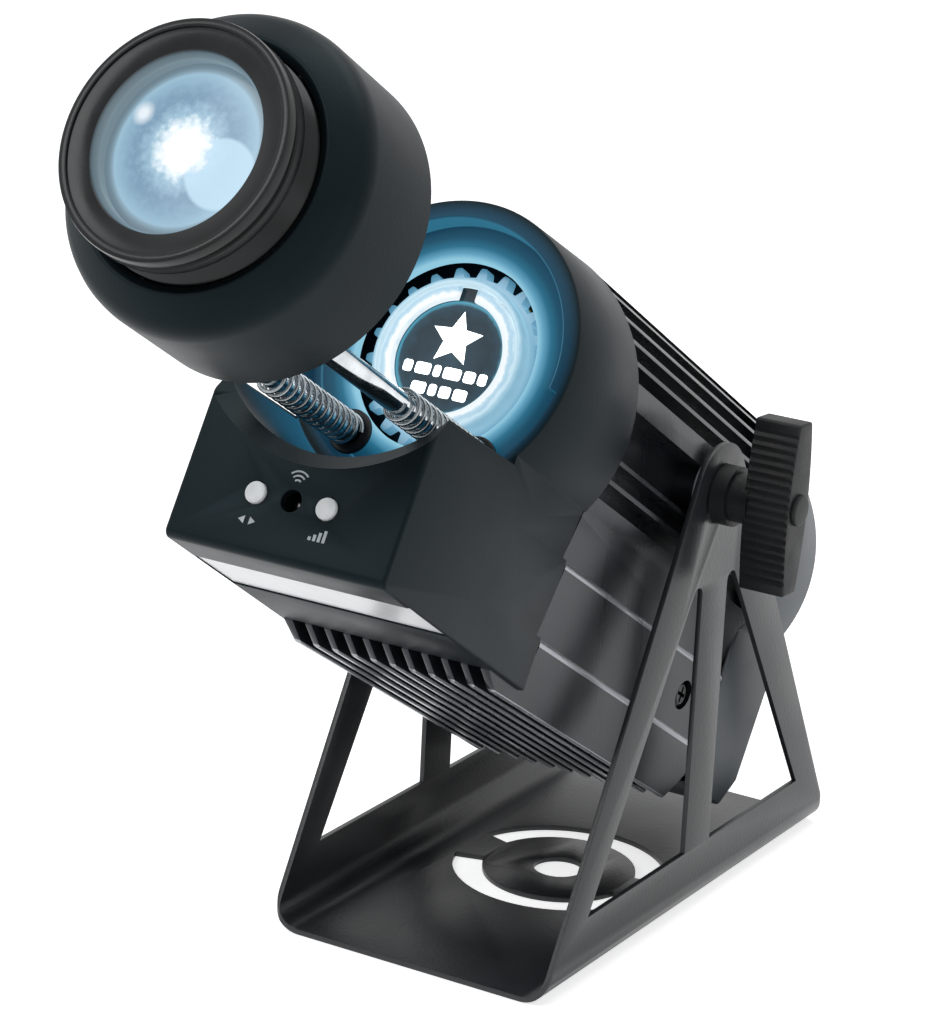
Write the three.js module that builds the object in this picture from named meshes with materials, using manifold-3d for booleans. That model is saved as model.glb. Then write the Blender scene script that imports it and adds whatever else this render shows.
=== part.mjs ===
import * as THREE from "three";
import { mergeVertices } from "three/addons/utils/BufferGeometryUtils.js";
import Module from "manifold-3d";

// A gobo projector: a finned lamp head that tilts between the arms of a folded steel bracket.
// Millimetres. The bracket stands on Z = 0, the light leaves towards -Y, and X runs through the pivots.

const wasm = await Module();
wasm.setup();

// Clearances and drawing aids
const gap = 0.3; // between pieces that meet
const overrun = 3; // how far a cut passes the face it opens
const weld = 1e-4; // points closer than this are one point
const fine = 32; // sides of the large round forms
const middling = 20;
const coarse = 8;

const tiltAngle = THREE.MathUtils.degToRad(31.8); // how far the light points up at rest

const bracket = {
  halfDepth: 78.8,
  sheet: 1.5,
  bendRadius: 8,
  cornerRadius: 3,
  footHeight: 5,
  apexRadius: 13.5,
  pivotHeight: 118.3,
  boltHoleRadius: 3.7,
  strutHalfWidth: 6.95,
  windowFoot: 59.2,
  windowSill: 18.6,
  windowTop: 92,
  windowTipRadius: 2.5,
  hangHoleRadius: 6.95,
  slotInnerRadius: 21.2,
  slotOuterRadius: 29.4,
  slotBridgeAngle: THREE.MathUtils.degToRad(16.5),
};

// The head's own frame has its origin on the pivot line: x across, y up, z along the light.
const housing = {
  radius: 38.8, // round upper part
  bodyInset: 0.35, // how far the heat sink lies inside the covers' outline
  blockHalfWidth: 31.15, // straight lower part
  seamLow: 51.5, // where the front cover meets the heat sink
  seamTop: 63.5,
  seamKnee: -25,
  rearSeam: -56.8,
};
housing.blockBottom = -housing.radius - 32.8; // at the seam
housing.seamRadius = housing.radius + 1.4; // the front cover widens towards the seam
housing.seamHalfWidth = housing.blockHalfWidth + 1.1;
housing.pivotFace = housing.radius - housing.bodyInset;

const cover = {
  wall: 2.4,
  front: 92.3, // lip of the round part
  recessRadius: housing.radius - 4.8,
  lowerRecessRadius: housing.radius - 2.3,
  floorFront: 86.6,
  floorThickness: 2.4,
  wellRadius: housing.radius - 13.8,
  panelFront: 132,
  panelBottom: housing.blockBottom + 2.9,
  panelCornerRadius: 2.2,
  saddleRadius: housing.radius + 1.4,
  saddleChamferRadius: housing.radius + 5.7,
  saddleChamferDepth: 4.2,
  saddleBacking: housing.radius + 7.8, // the room inside stays outside this radius
  stripFront: 117,
  stripBack: 95.8,
  stripDepth: 0.8,
  stripHalfWidth: housing.blockHalfWidth - 0.2,
  finDoorFront: 69,
  finDoorHalfWidth: housing.blockHalfWidth - 1.15,
};

const panel = {
  itemHeight: -housing.radius - 14.7,
  buttonSpacing: 10,
  buttonRadius: 2.75,
  buttonProud: 0.9,
  buttonTravel: 0.6,
  buttonTopShare: 0.75,
  buttonFlangeRadius: 3.9,
  buttonFlange: 1.1,
  buttonStemRadius: 1.5,
  eyeRadius: 2.8,
  boardFront: 123.4,
  boardThickness: 1.6,
  boardHalfWidth: housing.blockHalfWidth - cover.wall - 2.75,
  boardTop: -housing.radius - 9.8,
  boardBottom: cover.panelBottom + 2.7,
  bossRadius: 2.4,
  bossAcross: housing.blockHalfWidth - cover.wall - 6.75,
  bossHeights: [-housing.radius - 13.7, cover.panelBottom + 5.7],
  switchSide: 6,
  switchHeight: 3.2,
  receiverWidth: 6.4,
  receiverDepth: 2.6,
  receiverDome: 2.2,
};

const sink = {
  finPitch: 5.25,
  finThickness: 1.2,
  firstFin: 9.5,
  sideGrooves: 5,
  finDepth: 10,
  pivotGrooveTop: 3.3,
  pivotGrooveBottom: -9.4,
  pivotGrooveDepth: 7.5,
  lowGrooves: [-12.4, -17.4],
  lowGrooveHeight: 4,
  lowGrooveDepth: 5,
  boardTopShares: [0.274, 0.515, 0.803], // of the block's depth
  boardSteps: [1.7, 1.8, 1.2],
  boardShoulder: 1.5,
  boardWall: 1.5,
  boardFade: 32, // how far the boards' steps run on in the front cover
  lowestBoardBottom: housing.blockBottom + 2.6,
  bottomFins: 11,
  bottomFinThickness: 1.9,
  bottomFinTip: housing.blockBottom - 3.4,
  bottomFinRoot: housing.blockBottom + 8,
  bottomFinFront: 68.6,
  bottomFinCorner: housing.blockBottom + 0.4,
  bottomFinSlant: 7.6,
  bottomFinRear: -49,
  cavityRadius: housing.radius - 13.2,
  cavityHalfWidth: housing.blockHalfWidth - 6.45,
  cavityFloor: housing.blockBottom + 12.6,
  wallFront: 50,
  wallBack: 40,
  faceRecessRadius: housing.radius - 5.8,
  bossRadius: 9,
  bossInner: housing.radius - 8.4,
  studHoleRadius: 3.3,
  studHoleDepth: 12,
  screwBoreRadius: 4.1,
  screwBoreDepth: 2.4,
  screwAlong: -38.5,
  screwHeight: housing.blockBottom + 23.6,
  screwHoleRadius: 1.8,
  wireHoleRadius: 3.5,
  wireHoleAcross: 14,
  wireHoleHeight: 19,
};

sink.bottomFinPitch =
  (2 * (housing.blockHalfWidth - 1.55) - sink.bottomFinThickness) / (sink.bottomFins - 1);

const rearCover = {
  wall: 2.4,
  bottom: housing.blockBottom + 2.7,
  topEdge: -73,
  middleEdge: -87,
  middleHeight: -30,
  lowEdge: -86,
  lowHeight: housing.blockBottom + 11.6,
  footEdge: -79,
  endRadius: housing.radius - 2.3, // the round part narrows to this
  screwRadius: 2.9,
  screwProud: 1.6,
  screwShankRadius: 1.4,
  screwShank: 7,
  screwPostRadius: 4,
  screwHeights: [17, housing.blockBottom + 15.6],
  screwAcross: [housing.radius - 14.8, housing.blockHalfWidth - 8.15],
};

const gland = {
  height: -44,
  boreRadius: 3.8,
  threadRadius: 6.2,
  threadLength: 5.5,
  hexRadius: 9.6,
  hexThickness: 4,
  nutRadius: 8.4,
  nutLength: 9,
  nutMouthRadius: 5.4,
};

const driver = {
  boardThickness: 1.6,
  halfWidth: sink.cavityHalfWidth - 1.2,
  height: sink.cavityFloor + 4.8,
  front: 26,
  back: -50,
  postRadius: 2.4,
  postAcross: sink.cavityHalfWidth - 5.7,
  postAlong: [20, -44],
  transformerWidth: 20,
  transformerLength: 18,
  transformerHeight: 15,
  transformerAlong: -30,
  capacitorRadius: 5,
  capacitorHeight: 16,
  capacitorAcross: 14,
  capacitorAlong: 4,
};

const lamp = {
  boardSide: 30,
  boardThickness: 1.6,
  emitterRadius: 6.5,
  emitterHeight: 1.2,
};

const condenser = {
  flangeRadius: housing.radius - 14.8,
  flangeThickness: 2.2,
  barrelRadius: 16.2,
  barrelFront: 76,
  boreRadius: 14.7,
  ledgeRadius: 12.6,
  ledgeHeight: 55.5,
  lensRadius: 14.4,
  lensEdge: 2,
  lensDome: 4.7,
  spacerRadius: 13.45,
  frontLensBack: 70,
  clipRadius: 12.8,
  clipThickness: 2,
};

const carrier = {
  back: 70.3,
  plateThickness: 3,
  plateRadius: housing.radius - 6.4,
  seatRadius: housing.radius - 16.2,
  lipRadius: housing.radius - 18.2,
  lipThickness: 1.2,
  hubRadius: housing.radius - 13.8,
  hubFront: 76.2,
  postRadius: 3,
  postCircle: housing.radius - 9.8,
  postAngles: [90, 205, 335],
  rodHoleRadius: 5.2,
};

const bearing = {
  outerRadius: carrier.seatRadius - gap,
  innerRadius: carrier.seatRadius - 3.7,
  thickness: 4.2,
};

const rotor = {
  journalRadius: bearing.innerRadius - gap,
  journalBore: bearing.innerRadius - 2.3,
  journalBack: carrier.back + 1.6,
  gearBack: carrier.hubFront + 1.4,
  gearThickness: 4,
  teeth: 22,
  tipRadius: cover.wellRadius - 0.2,
  rootRadius: cover.wellRadius - 2.8,
  toothTipShare: 0.26,
  toothRootShare: 0.5,
  hubRadius: cover.wellRadius - 4.3,
  apertureRadius: cover.wellRadius - 10.4,
  seatRadius: cover.wellRadius - 6.1,
};
rotor.seatHeight = rotor.gearBack + rotor.gearThickness + 0.8;
rotor.hubFront = rotor.seatHeight + 3.6;

const gobo = {
  radius: rotor.seatRadius - gap,
  thickness: 1.1,
  clipThickness: 1.6,
  clipInnerRadius: rotor.seatRadius - 3.9,
  clipOpening: 5,
};

const motor = {
  canRadius: 8,
  canLength: 13,
  bossRadius: 3.2,
  bossLength: 1.2,
  shaftRadius: 1.5,
  shaftDepth: 7,
  teeth: 8,
  tipRadius: 9.3,
  rootRadius: 6.3,
  toothTipShare: 0.24,
  toothRootShare: 0.44,
};
motor.centreDistance = rotor.tipRadius + motor.rootRadius + 0.8;

const guide = {
  circle: housing.radius - 8.4,
  angle: THREE.MathUtils.degToRad(-53.695), // from the side towards the bottom
  rodRadius: 3,
  rodBack: 80,
  rodEndChamfer: 0.6,
  clipGroove: 81,
  clipGrooveWidth: 1.3,
  clipGrooveRadius: 2.3,
  clipRadius: 4.6,
  clipThickness: 0.8,
  clipMouth: 3.4,
  bushRadius: 4.2,
  bushBore: 3.3,
  bushFlangeRadius: 5.8,
  bushFlange: 1.5,
  bushLength: 6,
  springRadius: 4.1,
  springWire: 0.55,
  springLength: 41,
  springCoils: 13,
};
guide.across = guide.circle * Math.cos(guide.angle);
guide.height = guide.circle * Math.sin(guide.angle);

const nose = {
  rim: 176.4,
  rimWall: 2.4,
  shoulder: 203,
  shoulderRadius: housing.radius - 2.4,
  shoulderArcShares: [0.35, 0.7],
  shoulderEdge: 208.6,
  face: 212.4,
  faceRadius: housing.radius - 7.8,
  mouthDepth: 1.6,
  collarBore: housing.radius - 10.2,
  webBack: 189,
  webFront: 193,
  webRadius: housing.radius - 14.8,
};

const lensTube = {
  radius: housing.radius - 10.6,
  threadDepth: 0.5,
  threadPitch: 2,
  threads: 2,
  back: 200,
  front: 219,
  boreRadius: housing.radius - 16,
  waistRadius: housing.radius - 18,
  waistBack: 208,
  waistFront: 213.4,
};

const objective = {
  radius: lensTube.boreRadius - gap,
  frontEdge: 2.7,
  frontDome: 4.6,
  rearEdge: 2.4,
  rearDome: 4,
  clipThickness: 1.3,
  clipRadius: lensTube.boreRadius - 2.4,
};

const focusRing = {
  radius: lensTube.radius + 0.43,
  back: 219.3,
  front: 226,
  rimRadius: lensTube.radius - 1.6,
  bezelRadius: lensTube.radius - 5.6,
  bezelDepth: 1.5,
  apertureRadius: lensTube.radius - 7.7,
  apertureDepth: 4.1,
  lipDepth: 0.9,
  grooveDepth: 0.7,
  grooveWidth: 1.2,
  grooves: [222],
};

const washer = {
  radius: 11,
  boreRadius: 3.6,
  thickness: 1.45,
};
bracket.width = 2 * (housing.pivotFace + gap + washer.thickness + gap + bracket.sheet);

const knob = {
  hubRadius: 8,
  neckRadius: 6.6,
  hubLength: 9,
  barThickness: 13,
  barWidth: 13.5,
  barHeight: 46,
  barEndWidth: 7,
  barEdge: 1.6,
  scallops: 16, // along each long edge
  scallopDepth: 0.6,
  bumpRadius: 4.2,
  bumpHeight: 1.2,
  studRadius: 3,
  studLength: 11,
  restAngle: THREE.MathUtils.degToRad(-4),
};

// Looks of the materials
const looks = {
  blackPlastic: { color: 0x1b1c1e, roughness: 0.5, metalness: 0 },
  blackSteel: { color: 0x17181a, roughness: 0.42, metalness: 0.35 },
  darkAluminium: { color: 0x24262a, roughness: 0.38, metalness: 0.7 },
  grip: { color: 0x121315, roughness: 0.62, metalness: 0 },
  chrome: { color: 0xd6dadc, roughness: 0.12, metalness: 1 },
  springSteel: { color: 0xa9adb0, roughness: 0.3, metalness: 1 },
  glass: { color: 0xdcecf5, roughness: 0.05, metalness: 0, transparent: true, opacity: 0.4 },
  lensCoat: { color: 0xbfd9ea, roughness: 0.04, metalness: 0, transparent: true, opacity: 0.45 },
  artGlass: { color: 0x1f3a48, roughness: 0.1, metalness: 0 },
  emitter: { color: 0xf4e27a, roughness: 0.5, metalness: 0 },
  board: { color: 0x1d5a3a, roughness: 0.6, metalness: 0 },
  whiteBoard: { color: 0xe7e9ea, roughness: 0.55, metalness: 0 },
  whitePlastic: { color: 0xe4e6e7, roughness: 0.45, metalness: 0 },
  paleNylon: { color: 0xc9ccc8, roughness: 0.6, metalness: 0 },
  brass: { color: 0xb08d4a, roughness: 0.3, metalness: 1 },
  smoked: { color: 0x16110f, roughness: 0.15, metalness: 0 },
  motorSteel: { color: 0x9a9da1, roughness: 0.35, metalness: 0.9 },
};

// Turns a closed geometry into a solid, with its faces pointing out.
function solid(geometry) {
  const bare = new THREE.BufferGeometry().setAttribute("position", geometry.attributes.position);
  bare.setIndex(geometry.index);
  const merged = mergeVertices(bare, weld);
  const corners = merged.attributes.position.array;
  const kept = [];
  const index = merged.index.array;
  let volume = 0;
  const point = [new THREE.Vector3(), new THREE.Vector3(), new THREE.Vector3()];
  for (let i = 0; i < index.length; i += 3) {
    const [a, b, c] = [index[i], index[i + 1], index[i + 2]];
    if (a === b || b === c || c === a) continue;
    kept.push(a, b, c);
    [a, b, c].forEach((corner, k) => point[k].fromArray(corners, 3 * corner));
    volume += point[0].dot(point[1].cross(point[2]));
  }
  if (volume < 0)
    for (let i = 0; i < kept.length; i += 3) [kept[i + 1], kept[i + 2]] = [kept[i + 2], kept[i + 1]];
  return new wasm.Manifold(
    new wasm.Mesh({ numProp: 3, vertProperties: corners, triVerts: new Uint32Array(kept) }),
  );
}

const join = (first, ...rest) => rest.reduce((whole, piece) => whole.add(piece), first);
const cut = (first, ...rest) => rest.reduce((whole, piece) => whole.subtract(piece), first);

// Adds a named mesh of a solid to a group.
function place(group, name, body, look) {
  const { vertProperties, triVerts } = body.getMesh();
  const geometry = new THREE.BufferGeometry();
  geometry.setAttribute("position", new THREE.BufferAttribute(new Float32Array(vertProperties), 3));
  geometry.setIndex(new THREE.BufferAttribute(new Uint32Array(triVerts), 1));
  geometry.computeVertexNormals();
  const mesh = new THREE.Mesh(
    geometry,
    new THREE.MeshStandardMaterial({ ...looks[look], flatShading: true }),
  );
  mesh.name = name;
  group.add(mesh);
  return mesh;
}

// A section drawn in x and y, run along z.
function prism(shape, back, front, sides = middling) {
  const run = { depth: front - back, bevelEnabled: false, curveSegments: sides };
  return solid(new THREE.ExtrudeGeometry(shape, run).translate(0, 0, back));
}

// A side view drawn as points of (z, y), run across x.
function sideways(points, left, right) {
  const shape = new THREE.Shape(points.map(([z, y]) => new THREE.Vector2(z, y)));
  const geometry = new THREE.ExtrudeGeometry(shape, { depth: right - left, bevelEnabled: false });
  const turn = new THREE.Matrix4().makeBasis(
    new THREE.Vector3(0, 0, 1),
    new THREE.Vector3(0, 1, 0),
    new THREE.Vector3(1, 0, 0),
  );
  return solid(geometry.applyMatrix4(turn).translate(left, 0, 0));
}

// A block between two corners.
function block([x0, y0, z0], [x1, y1, z1]) {
  const geometry = new THREE.BoxGeometry(x1 - x0, y1 - y0, z1 - z0);
  return solid(geometry.translate((x0 + x1) / 2, (y0 + y1) / 2, (z0 + z1) / 2));
}

// A round bar along z.
function bar(radius, back, front, { x = 0, y = 0, sides = middling, end = radius } = {}) {
  const geometry = new THREE.CylinderGeometry(end, radius, front - back, sides);
  return solid(geometry.rotateX(Math.PI / 2).translate(x, y, (back + front) / 2));
}

// A round bar along x.
function crossBar(radius, left, right, { y = 0, z = 0, sides = middling } = {}) {
  const geometry = new THREE.CylinderGeometry(radius, radius, right - left, sides);
  return solid(geometry.rotateZ(Math.PI / 2).translate((left + right) / 2, y, z));
}

// A form turned about z from points of (radius, z), closed on itself or on the axis.
function turned(points, sides = fine) {
  const profile = [...points, points[0]].map(([radius, z]) => new THREE.Vector2(radius, z));
  return solid(new THREE.LatheGeometry(profile, sides).rotateX(Math.PI / 2));
}

// Points of an arc in (radius, z) or (z, y) pairs.
function arcPoints([cx, cy], radius, from, to, steps) {
  const points = [];
  for (let i = 0; i <= steps; i++) {
    const angle = from + ((to - from) * i) / steps;
    points.push([cx + radius * Math.cos(angle), cy + radius * Math.sin(angle)]);
  }
  return points;
}

// A spherical cap's profile, from its edge at one height to its crown at another.
function domePoints(radius, edge, crown, steps = 3) {
  const rise = crown - edge;
  const ball = (radius * radius + rise * rise) / (2 * Math.abs(rise));
  const points = [];
  for (let i = 0; i <= steps; i++) {
    const r = radius * (1 - i / steps);
    const drop = ball - Math.sqrt(ball * ball - r * r);
    points.push([r, crown - Math.sign(rise) * drop]);
  }
  return points;
}

// A wheel with straight-flanked teeth: tips and roots as shares of the tooth pitch.
function toothedShape({ teeth, tipRadius, rootRadius, toothTipShare, toothRootShare }, phase = 0) {
  const pitch = (2 * Math.PI) / teeth;
  const shape = new THREE.Shape();
  for (let i = 0; i < teeth; i++) {
    const middle = phase + i * pitch;
    const corners = [
      [rootRadius, -toothRootShare],
      [tipRadius, -toothTipShare],
      [tipRadius, toothTipShare],
      [rootRadius, toothRootShare],
    ];
    corners.forEach(([radius, share], k) => {
      const angle = middle + (share * pitch) / 2;
      const at = [radius * Math.cos(angle), radius * Math.sin(angle)];
      if (i === 0 && k === 0) shape.moveTo(...at);
      else shape.lineTo(...at);
    });
  }
  return shape;
}

// The folded bracket, drawn where it stands.
function bracketSolid() {
  const { width, halfDepth, sheet, bendRadius, pivotHeight, apexRadius, footHeight } = bracket;
  const half = width / 2;
  const top = pivotHeight + apexRadius;
  const inner = bendRadius - sheet;

  const section = new THREE.Shape();
  section.moveTo(-half, top);
  section.lineTo(-half, bendRadius);
  section.absarc(-half + bendRadius, bendRadius, bendRadius, Math.PI, 1.5 * Math.PI, false);
  section.absarc(half - bendRadius, bendRadius, bendRadius, 1.5 * Math.PI, 2 * Math.PI, false);
  section.lineTo(half, top);
  section.lineTo(half - sheet, top);
  section.absarc(half - bendRadius, bendRadius, inner, 0, -Math.PI / 2, true);
  section.absarc(-half + bendRadius, bendRadius, inner, -Math.PI / 2, -Math.PI, true);
  section.lineTo(-half + sheet, top);
  const run = { depth: 2 * halfDepth, bevelEnabled: false, curveSegments: 4 };
  const fold = new THREE.ExtrudeGeometry(section, run).rotateX(Math.PI / 2);
  const folded = solid(fold.translate(0, halfDepth, 0));

  // Side view, drawn as (Y, Z) and run along X.
  const alongX = (shape, sides) => {
    const side = new THREE.ExtrudeGeometry(shape, {
      depth: width + 2 * overrun,
      bevelEnabled: false,
      curveSegments: sides,
    });
    const turn = new THREE.Matrix4().makeBasis(
      new THREE.Vector3(0, 1, 0),
      new THREE.Vector3(0, 0, 1),
      new THREE.Vector3(1, 0, 0),
    );
    return side.applyMatrix4(turn).translate(-half - overrun, 0, 0);
  };
  const reach = Math.hypot(halfDepth, pivotHeight - footHeight);
  const lean = Math.atan2(pivotHeight - footHeight, halfDepth) + Math.asin(apexRadius / reach);
  const outline = new THREE.Shape();
  outline.moveTo(-halfDepth, 0);
  outline.lineTo(-halfDepth, footHeight);
  outline.absarc(0, pivotHeight, apexRadius, lean + Math.PI / 2, Math.PI / 2 - lean, true);
  outline.lineTo(halfDepth, footHeight);
  outline.lineTo(halfDepth, 0);

  const { strutHalfWidth, windowFoot, windowSill, windowTop, windowTipRadius } = bracket;
  const tip = [strutHalfWidth + windowTipRadius, windowTop];
  const run2 = [tip[0] - windowFoot, windowTop - windowSill];
  const slope = Math.atan2(run2[1], run2[0]) - Math.asin(windowTipRadius / Math.hypot(...run2));
  const opening = new THREE.Shape();
  opening.moveTo(strutHalfWidth, windowSill);
  opening.lineTo(windowFoot, windowSill);
  opening.absarc(...tip, windowTipRadius, slope - Math.PI / 2, Math.PI, false);
  const rearWindow = alongX(opening, 5);
  const frontWindow = rearWindow.clone().scale(1, -1, 1);

  // Plan view: rounded corners, the hanging hole and the two curved slots.
  const plan = new THREE.Shape();
  const r = bracket.cornerRadius;
  plan.absarc(half - r, halfDepth - r, r, 0, Math.PI / 2, false);
  plan.absarc(-half + r, halfDepth - r, r, Math.PI / 2, Math.PI, false);
  plan.absarc(-half + r, -halfDepth + r, r, Math.PI, 1.5 * Math.PI, false);
  plan.absarc(half - r, -halfDepth + r, r, 1.5 * Math.PI, 2 * Math.PI, false);
  const { slotInnerRadius, slotOuterRadius, slotBridgeAngle } = bracket;
  const slotAt = (side) => {
    const from = slotBridgeAngle + (side < 0 ? Math.PI : 0);
    const to = from + Math.PI - 2 * slotBridgeAngle;
    const slot = new THREE.Shape();
    slot.absarc(0, 0, slotOuterRadius, from, to, false);
    slot.absarc(0, 0, slotInnerRadius, to, from, true);
    return prism(slot, -overrun, sheet + overrun, 10);
  };
  const hole = bar(bracket.hangHoleRadius, -overrun, sheet + overrun, { sides: 16 });
  const bolts = crossBar(bracket.boltHoleRadius, -half - overrun, half + overrun, {
    z: pivotHeight,
    sides: coarse,
  });
  return cut(
    folded.intersect(solid(alongX(outline, 10))).intersect(prism(plan, -overrun, top + overrun, 4)),
    solid(rearWindow),
    solid(frontWindow),
    slotAt(1),
    slotAt(-1),
    hole,
    bolts,
  );
}

// Everything behind the slanting seam between the front cover and the heat sink.
function behindSeam(shift) {
  const { seamLow, seamTop, seamKnee, radius, seamRadius, rearSeam, blockBottom } = housing;
  const top = radius + overrun;
  const slope = (seamTop - seamLow) / (radius - seamKnee);
  return sideways(
    [
      [rearSeam - overrun, blockBottom - 2 * overrun],
      [seamLow + shift, blockBottom - 2 * overrun],
      [seamLow + shift, seamKnee],
      [seamTop + shift + slope * overrun, top],
      [rearSeam - overrun, top],
    ],
    -seamRadius - overrun,
    seamRadius + overrun,
  );
}

// How far the front cover's outside stands from the axis: its round part and its straight sides.
function coverRadius(z) {
  const seamMiddle = (housing.seamLow + housing.seamTop) / 2;
  const share = (cover.front - z) / (cover.front - seamMiddle);
  return housing.radius + (housing.seamRadius - housing.radius) * share;
}

function coverHalfWidth(z) {
  const share = (cover.panelFront - z) / (cover.panelFront - housing.seamLow);
  return housing.blockHalfWidth + (housing.seamHalfWidth - housing.blockHalfWidth) * share;
}

// A side view of (z, y) points between the front cover's slanting sides, or that far inside them.
function betweenSides(points, inside = 0) {
  const corners = points.flatMap(([z, y]) => {
    const half = coverHalfWidth(z) - inside;
    return [
      [-half, y, z],
      [half, y, z],
    ];
  });
  return wasm.Manifold.hull(corners);
}

function frontCover() {
  const { radius, blockHalfWidth, blockBottom, seamLow } = housing;
  const { wall, front, panelFront, panelBottom, panelCornerRadius, saddleRadius } = cover;
  const floorBack = cover.floorFront - cover.floorThickness;
  const corner = panelCornerRadius;
  const back = seamLow; // the slanting seam trims it further

  const profile = [
    [back, blockBottom],
    ...arcPoints([panelFront - corner, panelBottom + corner], corner, -Math.PI / 2, 0, 4),
    [panelFront, 0],
    [back, 0],
  ];
  const tube = bar(coverRadius(back), back, front, { sides: fine, end: radius });
  const outside = join(tube, betweenSides(profile));

  // The saddle that the nose slides into, and its bevelled front edge.
  const { saddleChamferRadius, saddleChamferDepth } = cover;
  const saddle = bar(saddleRadius, front, panelFront + overrun, { sides: fine });
  const flare = (saddleChamferRadius - saddleRadius) / saddleChamferDepth;
  const chamfer = turned([
    [0, panelFront - saddleChamferDepth],
    [saddleRadius, panelFront - saddleChamferDepth],
    [saddleChamferRadius + flare * overrun, panelFront + overrun],
    [0, panelFront + overrun],
  ]);
  const recess = bar(cover.recessRadius, cover.floorFront, front + overrun, { sides: fine });
  const lowRecess = bar(cover.lowerRecessRadius, cover.floorFront, front + overrun, { sides: fine });
  const belowAxis = block(
    [-blockHalfWidth, -radius - overrun, floorBack],
    [blockHalfWidth, -guide.bushRadius, front + overrun],
  );

  // The room inside, open at the back.
  const room = bar(coverRadius(back - overrun) - wall, back - overrun, floorBack, {
    sides: fine,
    end: coverRadius(floorBack) - wall,
  });
  const insideProfile = [
    [back - overrun, blockBottom + wall],
    [back, blockBottom + wall],
    [panelFront - wall, panelBottom + wall],
    [panelFront - wall, 0],
    [back - overrun, 0],
  ];
  const lowRoom = betweenSides(insideProfile, wall);
  const backing = bar(cover.saddleBacking, floorBack, panelFront, { sides: fine });

  // Bosses for the control board, on the back of the panel.
  const bosses = [];
  for (const side of [-1, 1])
    for (const height of panel.bossHeights)
      bosses.push(
        bar(panel.bossRadius, panel.boardFront + gap, panelFront - wall + gap, {
          x: side * panel.bossAcross,
          y: height,
          sides: coarse,
        }),
      );

  const openings = [
    bar(cover.wellRadius, floorBack - overrun, front, { sides: fine }),
    bar(panel.eyeRadius, panelFront - wall - gap, panelFront + overrun, {
      y: panel.itemHeight,
      sides: coarse,
    }),
  ];
  for (const side of [-1, 1]) {
    openings.push(
      bar(panel.buttonRadius + gap, panelFront - wall - gap, panelFront + overrun, {
        x: side * panel.buttonSpacing,
        y: panel.itemHeight,
        sides: coarse,
      }),
      bar(guide.bushRadius + gap, floorBack - overrun, front, {
        x: side * guide.across,
        y: guide.height,
        sides: 12,
      }),
    );
  }
  // Where the bottom fins come through, and the shallow band across the underside.
  const finDoor = block(
    [-cover.finDoorHalfWidth, blockBottom - overrun, back - overrun],
    [cover.finDoorHalfWidth, sink.bottomFinRoot + gap, cover.finDoorFront],
  );
  const dip = (panelBottom - blockBottom) / (panelFront - back);
  const bandAt = (z) => blockBottom + dip * (z - back);
  const band = sideways(
    [
      [cover.stripBack, bandAt(cover.stripBack) - overrun],
      [cover.stripFront, bandAt(cover.stripFront) - overrun],
      [cover.stripFront, bandAt(cover.stripFront) + cover.stripDepth],
      [cover.stripBack, bandAt(cover.stripBack) + cover.stripDepth],
    ],
    -cover.stripHalfWidth,
    cover.stripHalfWidth,
  );
  // The boards' steps on the heat sink run on and fade out in the cover's sides.
  const fades = boardTops()
    .slice(1)
    .flatMap((top, i) =>
      [-1, 1].map((side) => {
        const deep = sink.boardSteps[i] * (1 + overrun / sink.boardFade);
        const boardRise = boardTops()[i] - top;
        return wasm.Manifold.hull([
          [side * (coverHalfWidth(back - overrun) - deep), top, back - overrun],
          [side * (coverHalfWidth(back - overrun) + overrun), top, back - overrun],
          [side * coverHalfWidth(back - overrun), top + boardRise, back - overrun],
          [side * coverHalfWidth(back + sink.boardFade), top, back + sink.boardFade],
        ]);
      }),
    );
  const shell = cut(
    outside,
    saddle,
    chamfer,
    recess,
    lowRecess.intersect(belowAxis),
    room,
    lowRoom.subtract(backing),
    finDoor,
    band,
    ...fades,
    behindSeam(0),
  );
  return cut(join(shell, ...bosses), ...openings);
}

// The heights at which the lapped boards on the block's sides begin.
function boardTops() {
  return sink.boardTopShares.map((share) => share * housing.blockBottom);
}

// The heat sink's section: round above, straight sides with three lapped boards below.
function sinkSection() {
  const r = housing.seamRadius - housing.bodyInset;
  const edge = housing.seamHalfWidth - housing.bodyInset;
  const join0 = Math.asin(Math.sqrt(1 - (edge / r) ** 2));
  const shape = new THREE.Shape();
  shape.absarc(0, 0, r, -join0, Math.PI + join0, false);
  const { boardSteps, boardShoulder } = sink;
  const tops = boardTops();
  const steps = [];
  tops.forEach((top, i) => {
    const corner = [edge - boardShoulder, top - boardShoulder];
    if (i > 0) steps.push(...arcPoints(corner, boardShoulder, Math.PI / 2, 0, 2));
    steps.push([edge - boardSteps[i], tops[i + 1] ?? sink.lowestBoardBottom]);
  });
  steps.forEach(([x, y]) => shape.lineTo(-x, y));
  steps.reverse().forEach(([x, y]) => shape.lineTo(x, y));
  return shape;
}

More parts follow.
